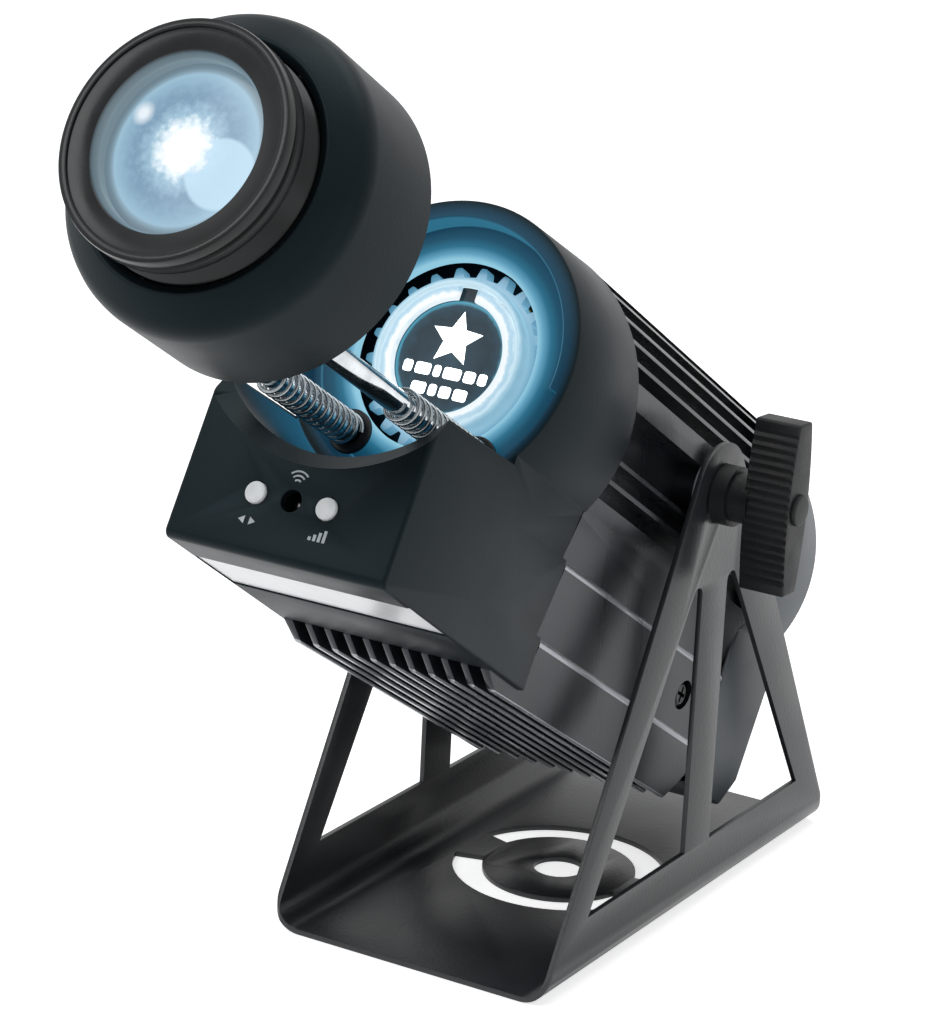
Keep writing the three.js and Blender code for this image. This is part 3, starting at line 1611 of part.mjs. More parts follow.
place(head, "nose_cone", noseSolid(), "blackPlastic");
place(head, "lens_tube", tubeSolid(), "darkAluminium");
const rearSeat = lensTube.waistBack - gap;
const rearInner = rearSeat - objective.rearEdge;
const objectiveRear = lensSolid(
  objective.radius,
  rearInner,
  rearSeat,
  rearInner - objective.rearDome,
  rearSeat + weld,
);
place(head, "objective_lens_rear", objectiveRear, "lensCoat");
const clipFront = rearInner - gap;
const lensClip = ringSolid(
  objective.clipRadius,
  objective.radius,
  clipFront - objective.clipThickness - lensDome / 4,
  clipFront - lensDome / 4,
);
place(head, "objective_clip", lensClip, "blackSteel");
const frontSeat = lensTube.waistFront + gap;
const frontEdge = frontSeat + objective.frontEdge;
const objectiveFront = lensSolid(
  objective.radius,
  frontSeat,
  frontEdge,
  frontSeat - weld,
  frontEdge + objective.frontDome,
);
place(head, "objective_lens_front", objectiveFront, "lensCoat");
place(head, "focus_ring", focusRingSolid(), "darkAluminium");

// The origin is the middle of the standing object's outline, on the surface it stands on.
stand.updateMatrixWorld(true);
const extent = new THREE.Box3().setFromObject(stand, true);
stand.position.y = -(extent.min.y + extent.max.y) / 2;

const projector = new THREE.Group();
projector.add(stand);
export default projector;
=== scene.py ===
# Gobo projector: a finned lamp head with a sliding lens nose, tilting in a folded steel bracket.
import math

import bmesh
import bpy
from mathutils import Matrix, Vector


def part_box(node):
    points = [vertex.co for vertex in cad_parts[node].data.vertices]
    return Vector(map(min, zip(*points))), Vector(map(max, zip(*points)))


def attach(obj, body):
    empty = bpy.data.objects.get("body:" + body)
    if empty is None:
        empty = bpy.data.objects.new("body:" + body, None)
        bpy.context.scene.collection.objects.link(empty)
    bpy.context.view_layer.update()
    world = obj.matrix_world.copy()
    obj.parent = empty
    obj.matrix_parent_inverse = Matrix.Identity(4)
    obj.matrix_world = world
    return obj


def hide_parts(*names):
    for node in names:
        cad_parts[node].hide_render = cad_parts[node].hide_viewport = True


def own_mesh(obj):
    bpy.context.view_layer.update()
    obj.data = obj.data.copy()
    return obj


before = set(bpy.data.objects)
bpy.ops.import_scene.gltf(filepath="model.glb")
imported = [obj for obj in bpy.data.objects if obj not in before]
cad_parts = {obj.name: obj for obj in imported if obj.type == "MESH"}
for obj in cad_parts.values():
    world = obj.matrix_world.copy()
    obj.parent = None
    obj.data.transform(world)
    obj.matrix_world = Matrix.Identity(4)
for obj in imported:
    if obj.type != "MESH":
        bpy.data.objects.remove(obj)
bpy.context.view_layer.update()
mm = 0.001

# Where the tilting head sits: its own frame has x across, y up and z along the light.
headPlace = {"tiltDegrees": 31.8, "pivotHeight": 118.3}
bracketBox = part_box("bracket")
pivotY = (bracketBox[0].y + bracketBox[1].y) / 2
tilt = math.radians(headPlace["tiltDegrees"])
headMatrix = Matrix.Translation((0, pivotY, headPlace["pivotHeight"] * mm)) @ Matrix.Rotation(
    math.pi / 2 - tilt, 4, "X"
)
standMatrix = Matrix.Translation((0, pivotY, 0))
beyond = {"side": 45, "top": 41.8, "below": 80}  # how far from the light's axis cutters reach
rodAt = (18, -24.5)  # the guide rods, to each side of the light and below it
twoSides = {"left": -1, "right": 1}
spare = 3  # mm that a cutting shape runs past what it cuts


# Modelling helpers: each does by operator what a hand does in edit mode

def deselectAll():
    if bpy.context.object and bpy.context.object.mode != "OBJECT":
        bpy.ops.object.mode_set(mode="OBJECT")
    bpy.ops.object.select_all(action="DESELECT")


def pick(obj):
    deselectAll()
    obj.select_set(True)
    bpy.context.view_layer.objects.active = obj


# In edit mode: welds what is close, if asked, turns all faces outwards and leaves.
def closeUp(threshold=None):
    if threshold:
        bpy.ops.mesh.select_all(action="SELECT")
        bpy.ops.mesh.remove_doubles(threshold=threshold)
    bpy.ops.mesh.select_all(action="SELECT")
    bpy.ops.mesh.normals_make_consistent(inside=False)
    bpy.ops.object.mode_set(mode="OBJECT")


def applyPlace(obj):
    bpy.ops.object.transform_apply(location=True, rotation=True, scale=True)
    return obj


# A chain of points in millimetres, extruded one from the next.
def traceChain(name, points):
    deselectAll()
    bpy.ops.mesh.primitive_plane_add(size=mm)
    obj = bpy.context.object
    obj.name = name
    bpy.ops.object.mode_set(mode="EDIT")
    bpy.ops.mesh.merge(type="CENTER")
    bpy.ops.transform.translate(value=Vector(points[0]) * mm)
    for here, there in zip(points, points[1:]):
        step = (Vector(there) - Vector(here)) * mm
        bpy.ops.mesh.extrude_region_move(TRANSFORM_OT_translate={"value": step})
    return obj


# A form turned about z, from (radius, z) points.
def spinProfile(name, profile, steps=96, closed=True):
    points = [(r, 0, z) for r, z in profile]
    if closed:
        points.append(points[0])
    obj = traceChain(name, points)
    bpy.ops.mesh.select_all(action="SELECT")
    bpy.ops.mesh.remove_doubles(threshold=1e-6)
    bpy.ops.mesh.select_all(action="SELECT")
    bpy.ops.mesh.spin(steps=steps, angle=2 * math.pi, center=(0, 0, 0), axis=(0, 0, 1))
    closeUp(threshold=2e-6)
    return obj


# A closed outline of 3-D points, filled and pulled along a direction, all in millimetres.
def extrudeOutline(name, outline, direction):
    obj = traceChain(name, outline)
    bpy.ops.mesh.select_all(action="SELECT")
    bpy.ops.mesh.edge_face_add()
    bpy.ops.mesh.select_all(action="SELECT")
    bpy.ops.mesh.extrude_region_move(TRANSFORM_OT_translate={"value": Vector(direction) * mm})
    closeUp()
    return obj


# A side view of (z, y) points, pulled across x.
def sideOutline(name, outline, left, right):
    return extrudeOutline(name, [(left, y, z) for z, y in outline], (right - left, 0, 0))


# A front view of (x, y) points, pulled along z.
def frontOutline(name, outline, back, front):
    return extrudeOutline(name, [(x, y, back) for x, y in outline], (0, 0, front - back))


# A bar along the light; with an end radius it is a cone.
def roundBar(name, radius, back, front, at=(0, 0), sides=48, end=None):
    deselectAll()
    middle = (at[0] * mm, at[1] * mm, (back + front) / 2 * mm)
    bpy.ops.mesh.primitive_cone_add(
        vertices=sides, radius1=radius * mm, radius2=(end or radius) * mm,
        depth=(front - back) * mm, location=middle,
    )
    return named(name)


def crossBar(name, radius, left, right, y=0, z=0, sides=48):
    deselectAll()
    middle = ((left + right) / 2 * mm, y * mm, z * mm)
    bpy.ops.mesh.primitive_cylinder_add(
        vertices=sides,
        radius=radius * mm,
        depth=(right - left) * mm,
        location=middle,
        rotation=(0, math.pi / 2, 0),
    )
    return named(name)


def brick(name, low, high):
    deselectAll()
    low, high = Vector(low) * mm, Vector(high) * mm
    bpy.ops.mesh.primitive_cube_add(size=1, location=(low + high) / 2, scale=high - low)
    return named(name)


def named(name):
    obj = bpy.context.object
    obj.name = name
    return applyPlace(obj)


# Cuts, joins or keeps the common part of two closed pieces.
def combine(obj, other, operation):
    pick(obj)
    modifier = obj.modifiers.new(operation, "BOOLEAN")
    modifier.operation = operation
    modifier.solver = "EXACT"
    modifier.object = other
    bpy.ops.object.modifier_apply(modifier=modifier.name)
    bpy.data.objects.remove(other)
    return obj


def cutAway(obj, *cutters):
    for cutter in cutters:
        combine(obj, cutter, "DIFFERENCE")
    return obj


def joinTo(obj, *others):
    for other in others:
        combine(obj, other, "UNION")
    return obj


def mergeClose(obj, distance=3e-6):
    pick(obj)
    bpy.ops.object.mode_set(mode="EDIT")
    bpy.ops.mesh.select_all(action="SELECT")
    bpy.ops.mesh.remove_doubles(threshold=distance)
    bpy.ops.mesh.select_all(action="SELECT")
    bpy.ops.mesh.dissolve_degenerate(threshold=distance)
    bpy.ops.object.mode_set(mode="OBJECT")
    return obj


def softenEdges(obj, width, angle=30, segments=2):
    pick(obj)
    modifier = obj.modifiers.new("Edges", "BEVEL")
    modifier.width = width * mm
    modifier.segments = segments
    modifier.limit_method = "ANGLE"
    modifier.angle_limit = math.radians(angle)
    modifier.use_clamp_overlap = True
    modifier.harden_normals = False
    bpy.ops.object.modifier_apply(modifier=modifier.name)
    return obj


# Stretches across x what lies at one place along the light.
def widenAt(obj, z, share):
    pick(obj)
    bpy.ops.object.mode_set(mode="EDIT")
    bpy.ops.mesh.select_mode(type="VERT")
    bpy.ops.mesh.select_all(action="DESELECT")
    mesh = bmesh.from_edit_mesh(obj.data)
    for vertex in mesh.verts:
        vertex.select = abs(vertex.co.z - z * mm) < 0.01 * mm
    mesh.select_flush_mode()
    bmesh.update_edit_mesh(obj.data)
    bpy.ops.transform.resize(value=(share, 1, 1), center_override=(0, 0, 0))
    bpy.ops.object.mode_set(mode="OBJECT")
    return obj


# A closed form with flat faces around a few points.
def wrapPoints(name, points):
    obj = traceChain(name, points)
    bpy.ops.mesh.select_all(action="SELECT")
    bpy.ops.mesh.convex_hull()
    closeUp()
    return obj


def copyOf(obj, name):
    twin = obj.copy()
    twin.data = obj.data.copy()
    twin.name = name
    bpy.context.scene.collection.objects.link(twin)
    return twin


def shift(obj, x=0, y=0, z=0):
    pick(obj)
    obj.location = Vector((x, y, z)) * mm
    return applyPlace(obj)


def mirrorX(obj):
    pick(obj)
    obj.scale.x = -1
    applyPlace(obj)
    bpy.ops.object.mode_set(mode="EDIT")
    closeUp()
    return obj


# Several pieces as one object with the first one's mesh.
def gather(pieces, name):
    pick(pieces[0])
    for piece in pieces[1:]:
        piece.select_set(True)
    bpy.ops.object.join()
    pieces[0].name = name
    return pieces[0]


# Puts a piece in its place on the projector, with its finish and the body it rides on.
def finishPiece(obj, material, body, replaces=(), matrix=headMatrix, smooth=32):
    pick(obj)
    obj.matrix_world = matrix
    applyPlace(obj)
    bpy.ops.object.shade_smooth_by_angle(angle=math.radians(smooth))
    obj.data.materials.clear()
    obj.data.materials.append(material)
    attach(obj, body)
    if replaces:
        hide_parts(*replaces)
    return obj


# Points of an arc, with its angles in degrees.
def arc(cx, cy, radius, start, end, steps):
    angles = [math.radians(start + (end - start) * i / steps) for i in range(steps + 1)]
    return [(cx + radius * math.cos(a), cy + radius * math.sin(a)) for a in angles]


# A rectangle with round corners, from its middle and its half sizes.
def roundedBox(x, y, halfWide, halfHigh, radius, steps):
    points = []
    for sx, sy, start in ((1, 1, 0), (-1, 1, 90), (-1, -1, 180), (1, -1, 270)):
        corner = (x + sx * (halfWide - radius), y + sy * (halfHigh - radius))
        points += arc(*corner, radius, start, start + 90, steps)
    return points


# Finishes

# An sRGB hex colour as linear values with full alpha.
def linear(hexCode):
    parts = [int(hexCode[i : i + 2], 16) / 255 for i in (1, 3, 5)]
    return [c / 12.92 if c <= 0.04045 else ((c + 0.055) / 1.055) ** 2.4 for c in parts] + [1]


# Adds a node with its settings, its inputs set or linked, and a ramp's (position, hex) stops.
def addNode(tree, kind, settings=None, inputs=None, stops=()):
    node = tree.nodes.new(kind)
    for key, value in (settings or {}).items():
        setattr(node, key, value)
    for key, value in (inputs or {}).items():
        if isinstance(value, bpy.types.NodeSocket):
            tree.links.new(value, node.inputs[key])
        else:
            node.inputs[key].default_value = value
    if stops:
        elements = node.color_ramp.elements
        while len(elements) < len(stops):
            elements.new(0.5)
        for element, (position, hexCode) in zip(elements, stops):
            element.position = position
            element.color = linear(hexCode)
    return node


def newMaterial(name):
    material = bpy.data.materials.new(name)
    material.use_nodes = True
    tree = material.node_tree
    tree.nodes.clear()
    shader = addNode(tree, "ShaderNodeBsdfPrincipled")
    output = addNode(tree, "ShaderNodeOutputMaterial")
    tree.links.new(shader.outputs["BSDF"], output.inputs["Surface"])
    return material, tree, shader


# A finish with its own mottling, gloss variation and fine relief, at real sizes.
def textured(name, finish):
    material, tree, shader = newMaterial(name)
    where = addNode(tree, "ShaderNodeTexCoord").outputs["Object"]
    turned = addNode(
        tree,
        "ShaderNodeMapping",
        inputs={
            "Vector": where,
            "Rotation": (finish.get("turn", 0), 0, 0),
            "Scale": finish.get("stretch", (1, 1, 1)),
        },
    ).outputs["Vector"]
    cloud = addNode(
        tree,
        "ShaderNodeTexNoise",
        inputs={"Vector": turned, "Scale": 1 / (finish["cloudMm"] * mm), "Detail": 4.0},
    ).outputs["Fac"]
    grain = addNode(
        tree,
        "ShaderNodeTexNoise",
        inputs={"Vector": turned, "Scale": 1 / (finish["grainMm"] * mm), "Detail": 3.0},
    ).outputs["Fac"]
    colour = addNode(
        tree, "ShaderNodeValToRGB",
        inputs={"Fac": cloud}, stops=[(0.3, finish["dark"]), (0.7, finish["light"])],
    ).outputs["Color"]
    gloss = addNode(
        tree,
        "ShaderNodeMapRange",
        inputs={
            "Value": cloud,
            "From Min": 0.3,
            "From Max": 0.7,
            "To Min": finish["roughness"][0],
            "To Max": finish["roughness"][1],
        },
    ).outputs["Result"]
    relief = addNode(
        tree,
        "ShaderNodeBump",
        inputs={
            "Height": grain,
            "Strength": finish["relief"],
            "Distance": finish["grainMm"] * mm * 0.3,
        },
    ).outputs["Normal"]
    tree.links.new(colour, shader.inputs["Base Color"])
    tree.links.new(gloss, shader.inputs["Roughness"])
    tree.links.new(relief, shader.inputs["Normal"])
    shader.inputs["Metallic"].default_value = finish.get("metallic", 0)
    shader.inputs["IOR"].default_value = finish.get("ior", 1.5)
    shader.inputs["Specular IOR Level"].default_value = finish.get("specular", 0.5)
    # a finish's tint colours its reflections; on the moulded plastic it is a painted cast of coloured
    # light
    shader.inputs["Specular Tint"].default_value = linear(finish.get("tint", "#ffffff"))
    return material, tree, shader


finishes = {
    # Moulded ABS from a lightly eroded mould: a deep satin black with broad, soft reflections, their
    # teal tint a painted cast of coloured light
    "mouldedAbs": {
        "dark": "#0b1114", "light": "#12191d", "cloudMm": 22, "grainMm": 0.7,
        "relief": 0.16, "roughness": (0.36, 0.44), "ior": 1.5, "specular": 0.15, "tint": "#bfe3ee",
    },
    # The rear cap is the same plastic, in a paler grey
    "paleGreyAbs": {
        "dark": "#4b5156", "light": "#5b6166", "cloudMm": 16, "grainMm": 0.8,
        "relief": 0.16, "roughness": (0.42, 0.52), "ior": 1.5, "specular": 0.4,
    },
    # Powder coat baked on steel sheet: a fine orange peel in semi-gloss black
    "powderCoat": {
        "dark": "#1b1d20", "light": "#26282c", "cloudMm": 30, "grainMm": 1.1,
        "relief": 0.22, "roughness": (0.3, 0.4), "ior": 1.5, "specular": 0.5,
    },
    # Black anodised extrusion: fine drawn lines along its length, and a metal's grey sheen
    "anodisedExtrusion": {
        "dark": "#23262a", "light": "#34373c", "cloudMm": 12, "grainMm": 0.9,
        "relief": 0.07, "roughness": (0.24, 0.34), "metallic": 0.55, "specular": 0.5,
        "stretch": (1, 1, 0.05), "turn": -(math.pi / 2 - tilt),
    },
    # Turned and anodised lens parts: deeper black with a tight gloss
    "turnedAnodised": {
        "dark": "#0a0c0e", "light": "#121518", "cloudMm": 9, "grainMm": 0.6,
        "relief": 0.08, "roughness": (0.2, 0.28), "metallic": 0.3, "specular": 0.4,
    },
    # Glass-filled nylon of the knobs: matt, with a grippy grain
    "filledNylon": {
        "dark": "#0b0c0e", "light": "#141619", "cloudMm": 8, "grainMm": 0.8,
        "relief": 0.35, "roughness": (0.42, 0.54), "ior": 1.5, "specular": 0.3,
    },
    # Ground and chromed steel rod
    "chromedRod": {
        "dark": "#b9bec2", "light": "#dde1e4", "cloudMm": 6, "grainMm": 0.5,
        "relief": 0.03, "roughness": (0.07, 0.14), "metallic": 1,
    },
    # Hard-drawn spring wire
    "springWire": {
        "dark": "#7d8285", "light": "#aab0b3", "cloudMm": 3, "grainMm": 0.4,
        "relief": 0.08, "roughness": (0.2, 0.32), "metallic": 1,
    },
    "blackenedSteel": {
        "dark": "#111216", "light": "#1e2024", "cloudMm": 3, "grainMm": 0.4,
        "relief": 0.15, "roughness": (0.3, 0.42), "metallic": 0.6,
    },
    "whiteKey": {
        "dark": "#e4e8ea", "light": "#f2f4f5", "cloudMm": 3, "grainMm": 0.4,
        "relief": 0.05, "roughness": (0.3, 0.36), "ior": 1.49,
    },
    "smokedLens": {
        "dark": "#0a0808", "light": "#15100f", "cloudMm": 2, "grainMm": 0.4,
        "relief": 0.02, "roughness": (0.08, 0.14), "ior": 1.58,
    },
    "paleNylon": {
        "dark": "#aeb9bd", "light": "#c6d0d3", "cloudMm": 5, "grainMm": 0.5,
        "relief": 0.12, "roughness": (0.4, 0.5), "ior": 1.53,
    },
    "turnedBrass": {
        "dark": "#a8873f", "light": "#c6a55c", "cloudMm": 3, "grainMm": 0.3,
        "relief": 0.08, "roughness": (0.22, 0.3), "metallic": 1,
    },
    "solderMask": {
        "dark": "#12402b", "light": "#1a5638", "cloudMm": 6, "grainMm": 0.8,
        "relief": 0.1, "roughness": (0.3, 0.4), "ior": 1.55,
    },
    "platedCan": {
        "dark": "#83878b", "light": "#a3a7ab", "cloudMm": 5, "grainMm": 0.6,
        "relief": 0.06, "roughness": (0.25, 0.35), "metallic": 1,
    },
    "lampBoard": {
        "dark": "#e3e6e8", "light": "#f2f4f5", "cloudMm": 6, "grainMm": 0.6,
        "relief": 0.04, "roughness": (0.3, 0.4), "ior": 1.5,
    },
    "phosphorGel": {
        "dark": "#d9b63a", "light": "#f0d469", "cloudMm": 2, "grainMm": 0.4,
        "relief": 0.05, "roughness": (0.4, 0.5), "ior": 1.45,
    },
    # A glossy white strip in the underside band, standing in for the bright reflection seen there: a
    # painted reflection
    "paintedReflectionWhite": {
        "dark": "#eef1f3", "light": "#fafbfc", "cloudMm": 14, "grainMm": 1.2,
        "relief": 0.03, "roughness": (0.2, 0.26), "ior": 1.5,
    },
    "screenInk": {
        "dark": "#a9b0b6", "light": "#bfc6cb", "cloudMm": 2, "grainMm": 0.3,
        "relief": 0.05, "roughness": (0.45, 0.55), "ior": 1.5,
    },
}
looks = {name: textured(name, finish)[0] for name, finish in finishes.items()}


# The distance from the light's axis in millimetres, and the place in the head's own frame.
def radiusFromAxis(tree):
    where = addNode(tree, "ShaderNodeTexCoord").outputs["Object"]
    undo = headMatrix.inverted()
    turned = addNode(
        tree,
        "ShaderNodeMapping",
        inputs={
            "Vector": where,
            "Rotation": undo.to_euler(),
            "Location": undo.to_translation(),
        },
    ).outputs["Vector"]
    flat = addNode(
        tree,
        "ShaderNodeVectorMath",
        {"operation": "MULTIPLY"},
        {0: turned, 1: (1, 1, 0)},
    ).outputs["Vector"]
    length = addNode(
        tree, "ShaderNodeVectorMath", {"operation": "LENGTH"}, {0: flat}
    ).outputs["Value"]
    scaled = addNode(
        tree, "ShaderNodeMath", {"operation": "MULTIPLY"}, {0: length, 1: 1 / mm}
    ).outputs["Value"]
    return scaled, turned


# A band between two heights, 1 inside and 0 outside.
def bandOf(tree, value, low, high):
    above = addNode(
        tree, "ShaderNodeMath", {"operation": "GREATER_THAN"}, {0: value, 1: low * mm}
    ).outputs["Value"]
    below = addNode(
        tree, "ShaderNodeMath", {"operation": "LESS_THAN"}, {0: value, 1: high * mm}
    ).outputs["Value"]
    return addNode(
        tree, "ShaderNodeMath", {"operation": "MULTIPLY"}, {0: above, 1: below}
    ).outputs["Value"]


# Anodised extrusion whose rounded board shoulders and lower fin tips are painted paler: a painted
# highlight where they catch the light.
def rubbedExtrusion(name, bands, highlightColour, outside):
    material, tree, shader = textured(name, finishes["anodisedExtrusion"])
    turned = radiusFromAxis(tree)[1]
    split = addNode(tree, "ShaderNodeSeparateXYZ", inputs={"Vector": turned})
    away = addNode(
        tree, "ShaderNodeMath", {"operation": "ABSOLUTE"}, {0: split.outputs["X"]}
    ).outputs["Value"]
    rubbed = 0
    for low, high, inner in bands:
        band = bandOf(tree, split.outputs["Y"], low, high)
        reach = bandOf(tree, away, inner, outside)
        both = addNode(
            tree, "ShaderNodeMath", {"operation": "MULTIPLY"}, {0: band, 1: reach}
        ).outputs["Value"]
        rubbed = addNode(
            tree, "ShaderNodeMath", {"operation": "MAXIMUM"}, {0: rubbed, 1: both}
        ).outputs["Value"]
    # mixes the painted highlight colour into the shoulder and fin-tip bands
    plain = shader.inputs["Base Color"].links[0].from_socket
    mixed = addNode(
        tree, "ShaderNodeMix", {"data_type": "RGBA"}, {"Factor": rubbed, 6: plain, 7: linear(highlightColour)}
    ).outputs[2]
    tree.links.new(mixed, shader.inputs["Base Color"])
    return material


# Polished crown glass with a faint blue coating.
def clearGlass(name, roughness):
    material, tree, shader = newMaterial(name)
    where = addNode(tree, "ShaderNodeTexCoord").outputs["Object"]
    dust = addNode(
        tree, "ShaderNodeTexNoise", inputs={"Vector": where, "Scale": 900.0, "Detail": 4.0}
    ).outputs["Fac"]
    haze = addNode(
        tree,
        "ShaderNodeMapRange",
        inputs={
            "Value": dust, "From Min": 0.5, "From Max": 0.8,
            "To Min": roughness, "To Max": roughness + 0.12,
        },
    ).outputs["Result"]
    tree.links.new(haze, shader.inputs["Roughness"])
    shader.inputs["Base Color"].default_value = linear("#e4f1fa")
    shader.inputs["Transmission Weight"].default_value = 1
    shader.inputs["IOR"].default_value = 1.52
    return material


# A surface that glows as lamp light reaches it, by its distance from the light's axis.
def lampLight(
    name, stops, strength, base="#20282e", speckle=0.0, ghosts=(), specular=0.5, speckleMm=3.8
):
    material, tree, shader = newMaterial(name)
    distance, turned = radiusFromAxis(tree)
    reach = stops[-1][0]
    blotch = addNode(
        tree, "ShaderNodeTexNoise",
        inputs={"Vector": turned, "Scale": 1 / (speckleMm * mm), "Detail": 6.0},
    ).outputs["Fac"]
    swing = addNode(
        tree,
        "ShaderNodeMapRange",
        inputs={
            "Value": blotch, "From Min": 0.3, "From Max": 0.7,
            "To Min": -speckle, "To Max": speckle,
        },
    ).outputs["Result"]
    calm = addNode(  # the speckle dies out towards the rim
        tree,
        "ShaderNodeMapRange",
        inputs={
            "Value": distance, "From Min": reach * 0.6, "From Max": reach * 0.76,
            "To Min": 1.0, "To Max": 0.0,
        },
    ).outputs["Result"]
    wander = addNode(
        tree, "ShaderNodeMath", {"operation": "MULTIPLY"}, {0: swing, 1: calm}
    ).outputs["Value"]
    moved = addNode(
        tree, "ShaderNodeMath", {"operation": "ADD"}, {0: distance, 1: wander}
    ).outputs["Value"]
    share = addNode(
        tree, "ShaderNodeMath", {"operation": "DIVIDE"}, {0: moved, 1: reach}
    ).outputs["Value"]
    glow = addNode(
        tree, "ShaderNodeValToRGB",
        inputs={"Fac": share}, stops=[(r / reach, hexCode) for r, hexCode in stops],
    ).outputs["Color"]
    flat = addNode(
        tree, "ShaderNodeVectorMath", {"operation": "MULTIPLY"}, {0: turned, 1: (1, 1, 0)}
    ).outputs["Vector"]
    for x, y, radius, soft, hexCode in ghosts:  # lens reflections of the lamp, beside the axis
        away = addNode(
            tree, "ShaderNodeVectorMath", {"operation": "DISTANCE"},
            {0: flat, 1: (x * mm, y * mm, 0)},
        ).outputs["Value"]
        inside = addNode(
            tree,
            "ShaderNodeMapRange",
            inputs={
                "Value": away, "From Min": (radius - soft) * mm, "From Max": radius * mm,
                "To Min": 0.85, "To Max": 0.0,
            },
        ).outputs["Result"]
        mixed = addNode(
            tree, "ShaderNodeMix", {"data_type": "RGBA", "blend_type": "LIGHTEN"},
            {"Factor": inside, 6: glow, 7: linear(hexCode)},
        )
        glow = mixed.outputs[2]
    tree.links.new(glow, shader.inputs["Emission Color"])
    shader.inputs["Emission Strength"].default_value = strength
    shader.inputs["Base Color"].default_value = linear(base)
    shader.inputs["Roughness"].default_value = 0.2
    shader.inputs["Specular IOR Level"].default_value = specular
    return material


# A finish with a glow where the lamp's light falls on it, by the distance from the light's axis
# and fading along it. Past the inner radius, only what is near the middle across glows.
def litPiece(name, finish, stops, fade, inner=None):
    material, tree, shader = textured(name, finishes[finish])
    distance, turned = radiusFromAxis(tree)
    reach = stops[-1][0]
    share = addNode(
        tree, "ShaderNodeMath", {"operation": "DIVIDE"}, {0: distance, 1: reach}
    ).outputs["Value"]
    glow = addNode(
        tree, "ShaderNodeValToRGB",
        inputs={"Fac": share}, stops=[(r / reach, hexCode) for r, hexCode in stops],
    ).outputs["Color"]
    along = addNode(tree, "ShaderNodeSeparateXYZ", inputs={"Vector": turned}).outputs["Z"]
    starts, fades, ends = (z * mm for z in fade)
    begins = addNode(
        tree, "ShaderNodeMath", {"operation": "GREATER_THAN"}, {0: along, 1: starts}
    ).outputs["Value"]
    weakens = addNode(
        tree,
        "ShaderNodeMapRange",
        inputs={"Value": along, "From Min": fades, "From Max": ends, "To Min": 1.0, "To Max": 0.0},
    ).outputs["Result"]
    strength = addNode(
        tree, "ShaderNodeMath", {"operation": "MULTIPLY"}, {0: begins, 1: weakens}
    ).outputs["Value"]
    if inner:
        recessed = addNode(
            tree, "ShaderNodeMath", {"operation": "LESS_THAN"}, {0: distance, 1: inner[0]}
        ).outputs["Value"]
        across = addNode(tree, "ShaderNodeSeparateXYZ", inputs={"Vector": turned}).outputs["X"]
        between = bandOf(tree, across, -inner[1], inner[1])
        lit = addNode(
            tree, "ShaderNodeMath", {"operation": "MAXIMUM"}, {0: recessed, 1: between}
        ).outputs["Value"]
        strength = addNode(
            tree, "ShaderNodeMath", {"operation": "MULTIPLY"}, {0: strength, 1: lit}
        ).outputs["Value"]
    tree.links.new(glow, shader.inputs["Emission Color"])
    tree.links.new(strength, shader.inputs["Emission Strength"])
    return material


looks["lensGlass"] = clearGlass("coatedLensGlass", 0.02)
looks["litCoverAbs"] = litPiece(
    "mouldedAbsInLampLight", "mouldedAbs",
    [
        (0, "#7fc0da"), (25.2, "#8fc6dc"), (26.6, "#5f9fbd"), (28.6, "#266a87"), (31, "#154a63"),
        (33.7, "#0f3a51"), (34.0, "#2f6f8a"), (34.5, "#143f57"), (36.6, "#0f3044"), (38.1, "#071820"),
        (38.7, "#000000"), (39.6, "#000000"), (40.0, "#1c5875"), (41.0, "#0f3444"), (43.5, "#000000"),
    ],
    (83.9, 93, 124), (38.8, 31.1),
)
looks["litRing"] = litPiece(
    "turnedRingInLampLight", "turnedAnodised",
    [(0, "#7b909d"), (20.6, "#71858f"), (21.2, "#5c6d76"), (21.5, "#000000"), (22.5, "#000000")],
    (219, 230, 240),
)
# painted highlights on the body's board shoulders and lower fin tips
looks["rubbedExtrusion"] = rubbedExtrusion(
    "anodisedExtrusionPaintedHighlights",
    [(-38.9, -36.7, 29.8), (-59.5, -57.3, 29.8), (-76, -74.5, -1)],
    "#a4a8ad", 33,
)
looks["lensLight"] = lampLight(
    "lampLightInLens",
    [
        (0, "#ffffff"), (4.4, "#ffffff"), (5.8, "#e4f2fa"), (8.2, "#9dc0d5"), (12, "#7799b4"),
        (15, "#86a9c1"), (17.8, "#9abdd2"), (18.5, "#86a1b1"), (19.4, "#728894"), (20.6, "#667b87"),
        (22.5, "#4c5b64"),
    ],
    1.0,
    base="#0c1216",
    speckle=1.4,
    speckleMm=1.8,
    specular=0.3,
    ghosts=((10.9, -4.2, 8.6, 0.8, "#bcdcf0"), (-13.6, 6.4, 3.2, 2.2, "#f2f9ff")),
)
looks["holderLight"] = lampLight(
    "lampLightOnHolder",
    [
        (0, "#c8e4f2"), (14.4, "#c8e4f2"), (15, "#eef9ff"), (16.6, "#f6fcff"), (17.2, "#b4d6e8"),
        (17.9, "#a3cbe0"), (18.6, "#cfe8f4"), (19.6, "#b9dcec"), (20.6, "#8fbdd4"), (22.4, "#6ca3c0"),
        (25, "#3f7894"), (29, "#3f7894"),
    ],
    0.92,
    base="#36454d",
    speckle=0.5,
    specular=0.4,
)
looks["artLight"] = lampLight(
    "lampLightThroughArt", [(0, "#ffffff"), (14, "#e9faff")], 3.0, base="#e8f6fa"
)
# the gobo disc's dark print, with a painted glow of lamp light through it and a bright ring at the
# aperture
looks["artGlass"] = lampLight(
    "darkPrintedGlassInLampGlow",
    [
        (0, "#31505f"), (6, "#243f4d"), (11, "#1b3340"), (13.8, "#24495a"), (14.7, "#5fb5d2"),
        (15.2, "#1a3440"), (19, "#0d1a20"),
    ],
    0.8,
    base="#0b1216",
    speckle=2.0,
    specular=0.12,
)
print("finishes ready:", len(looks))


# Camera at the photograph's viewing angle
cameraPlace = {
    "azimuth": 30.582, "elevation": 17.749, "roll": 2.806,
    "centre": (469.13, -852.96, 415.88), "focalPixels": 3814.26,
    "principal": (467.311, 506.570), "imageSize": (940, 1024), "sensor": 36, "clip": (0.02, 20),
}


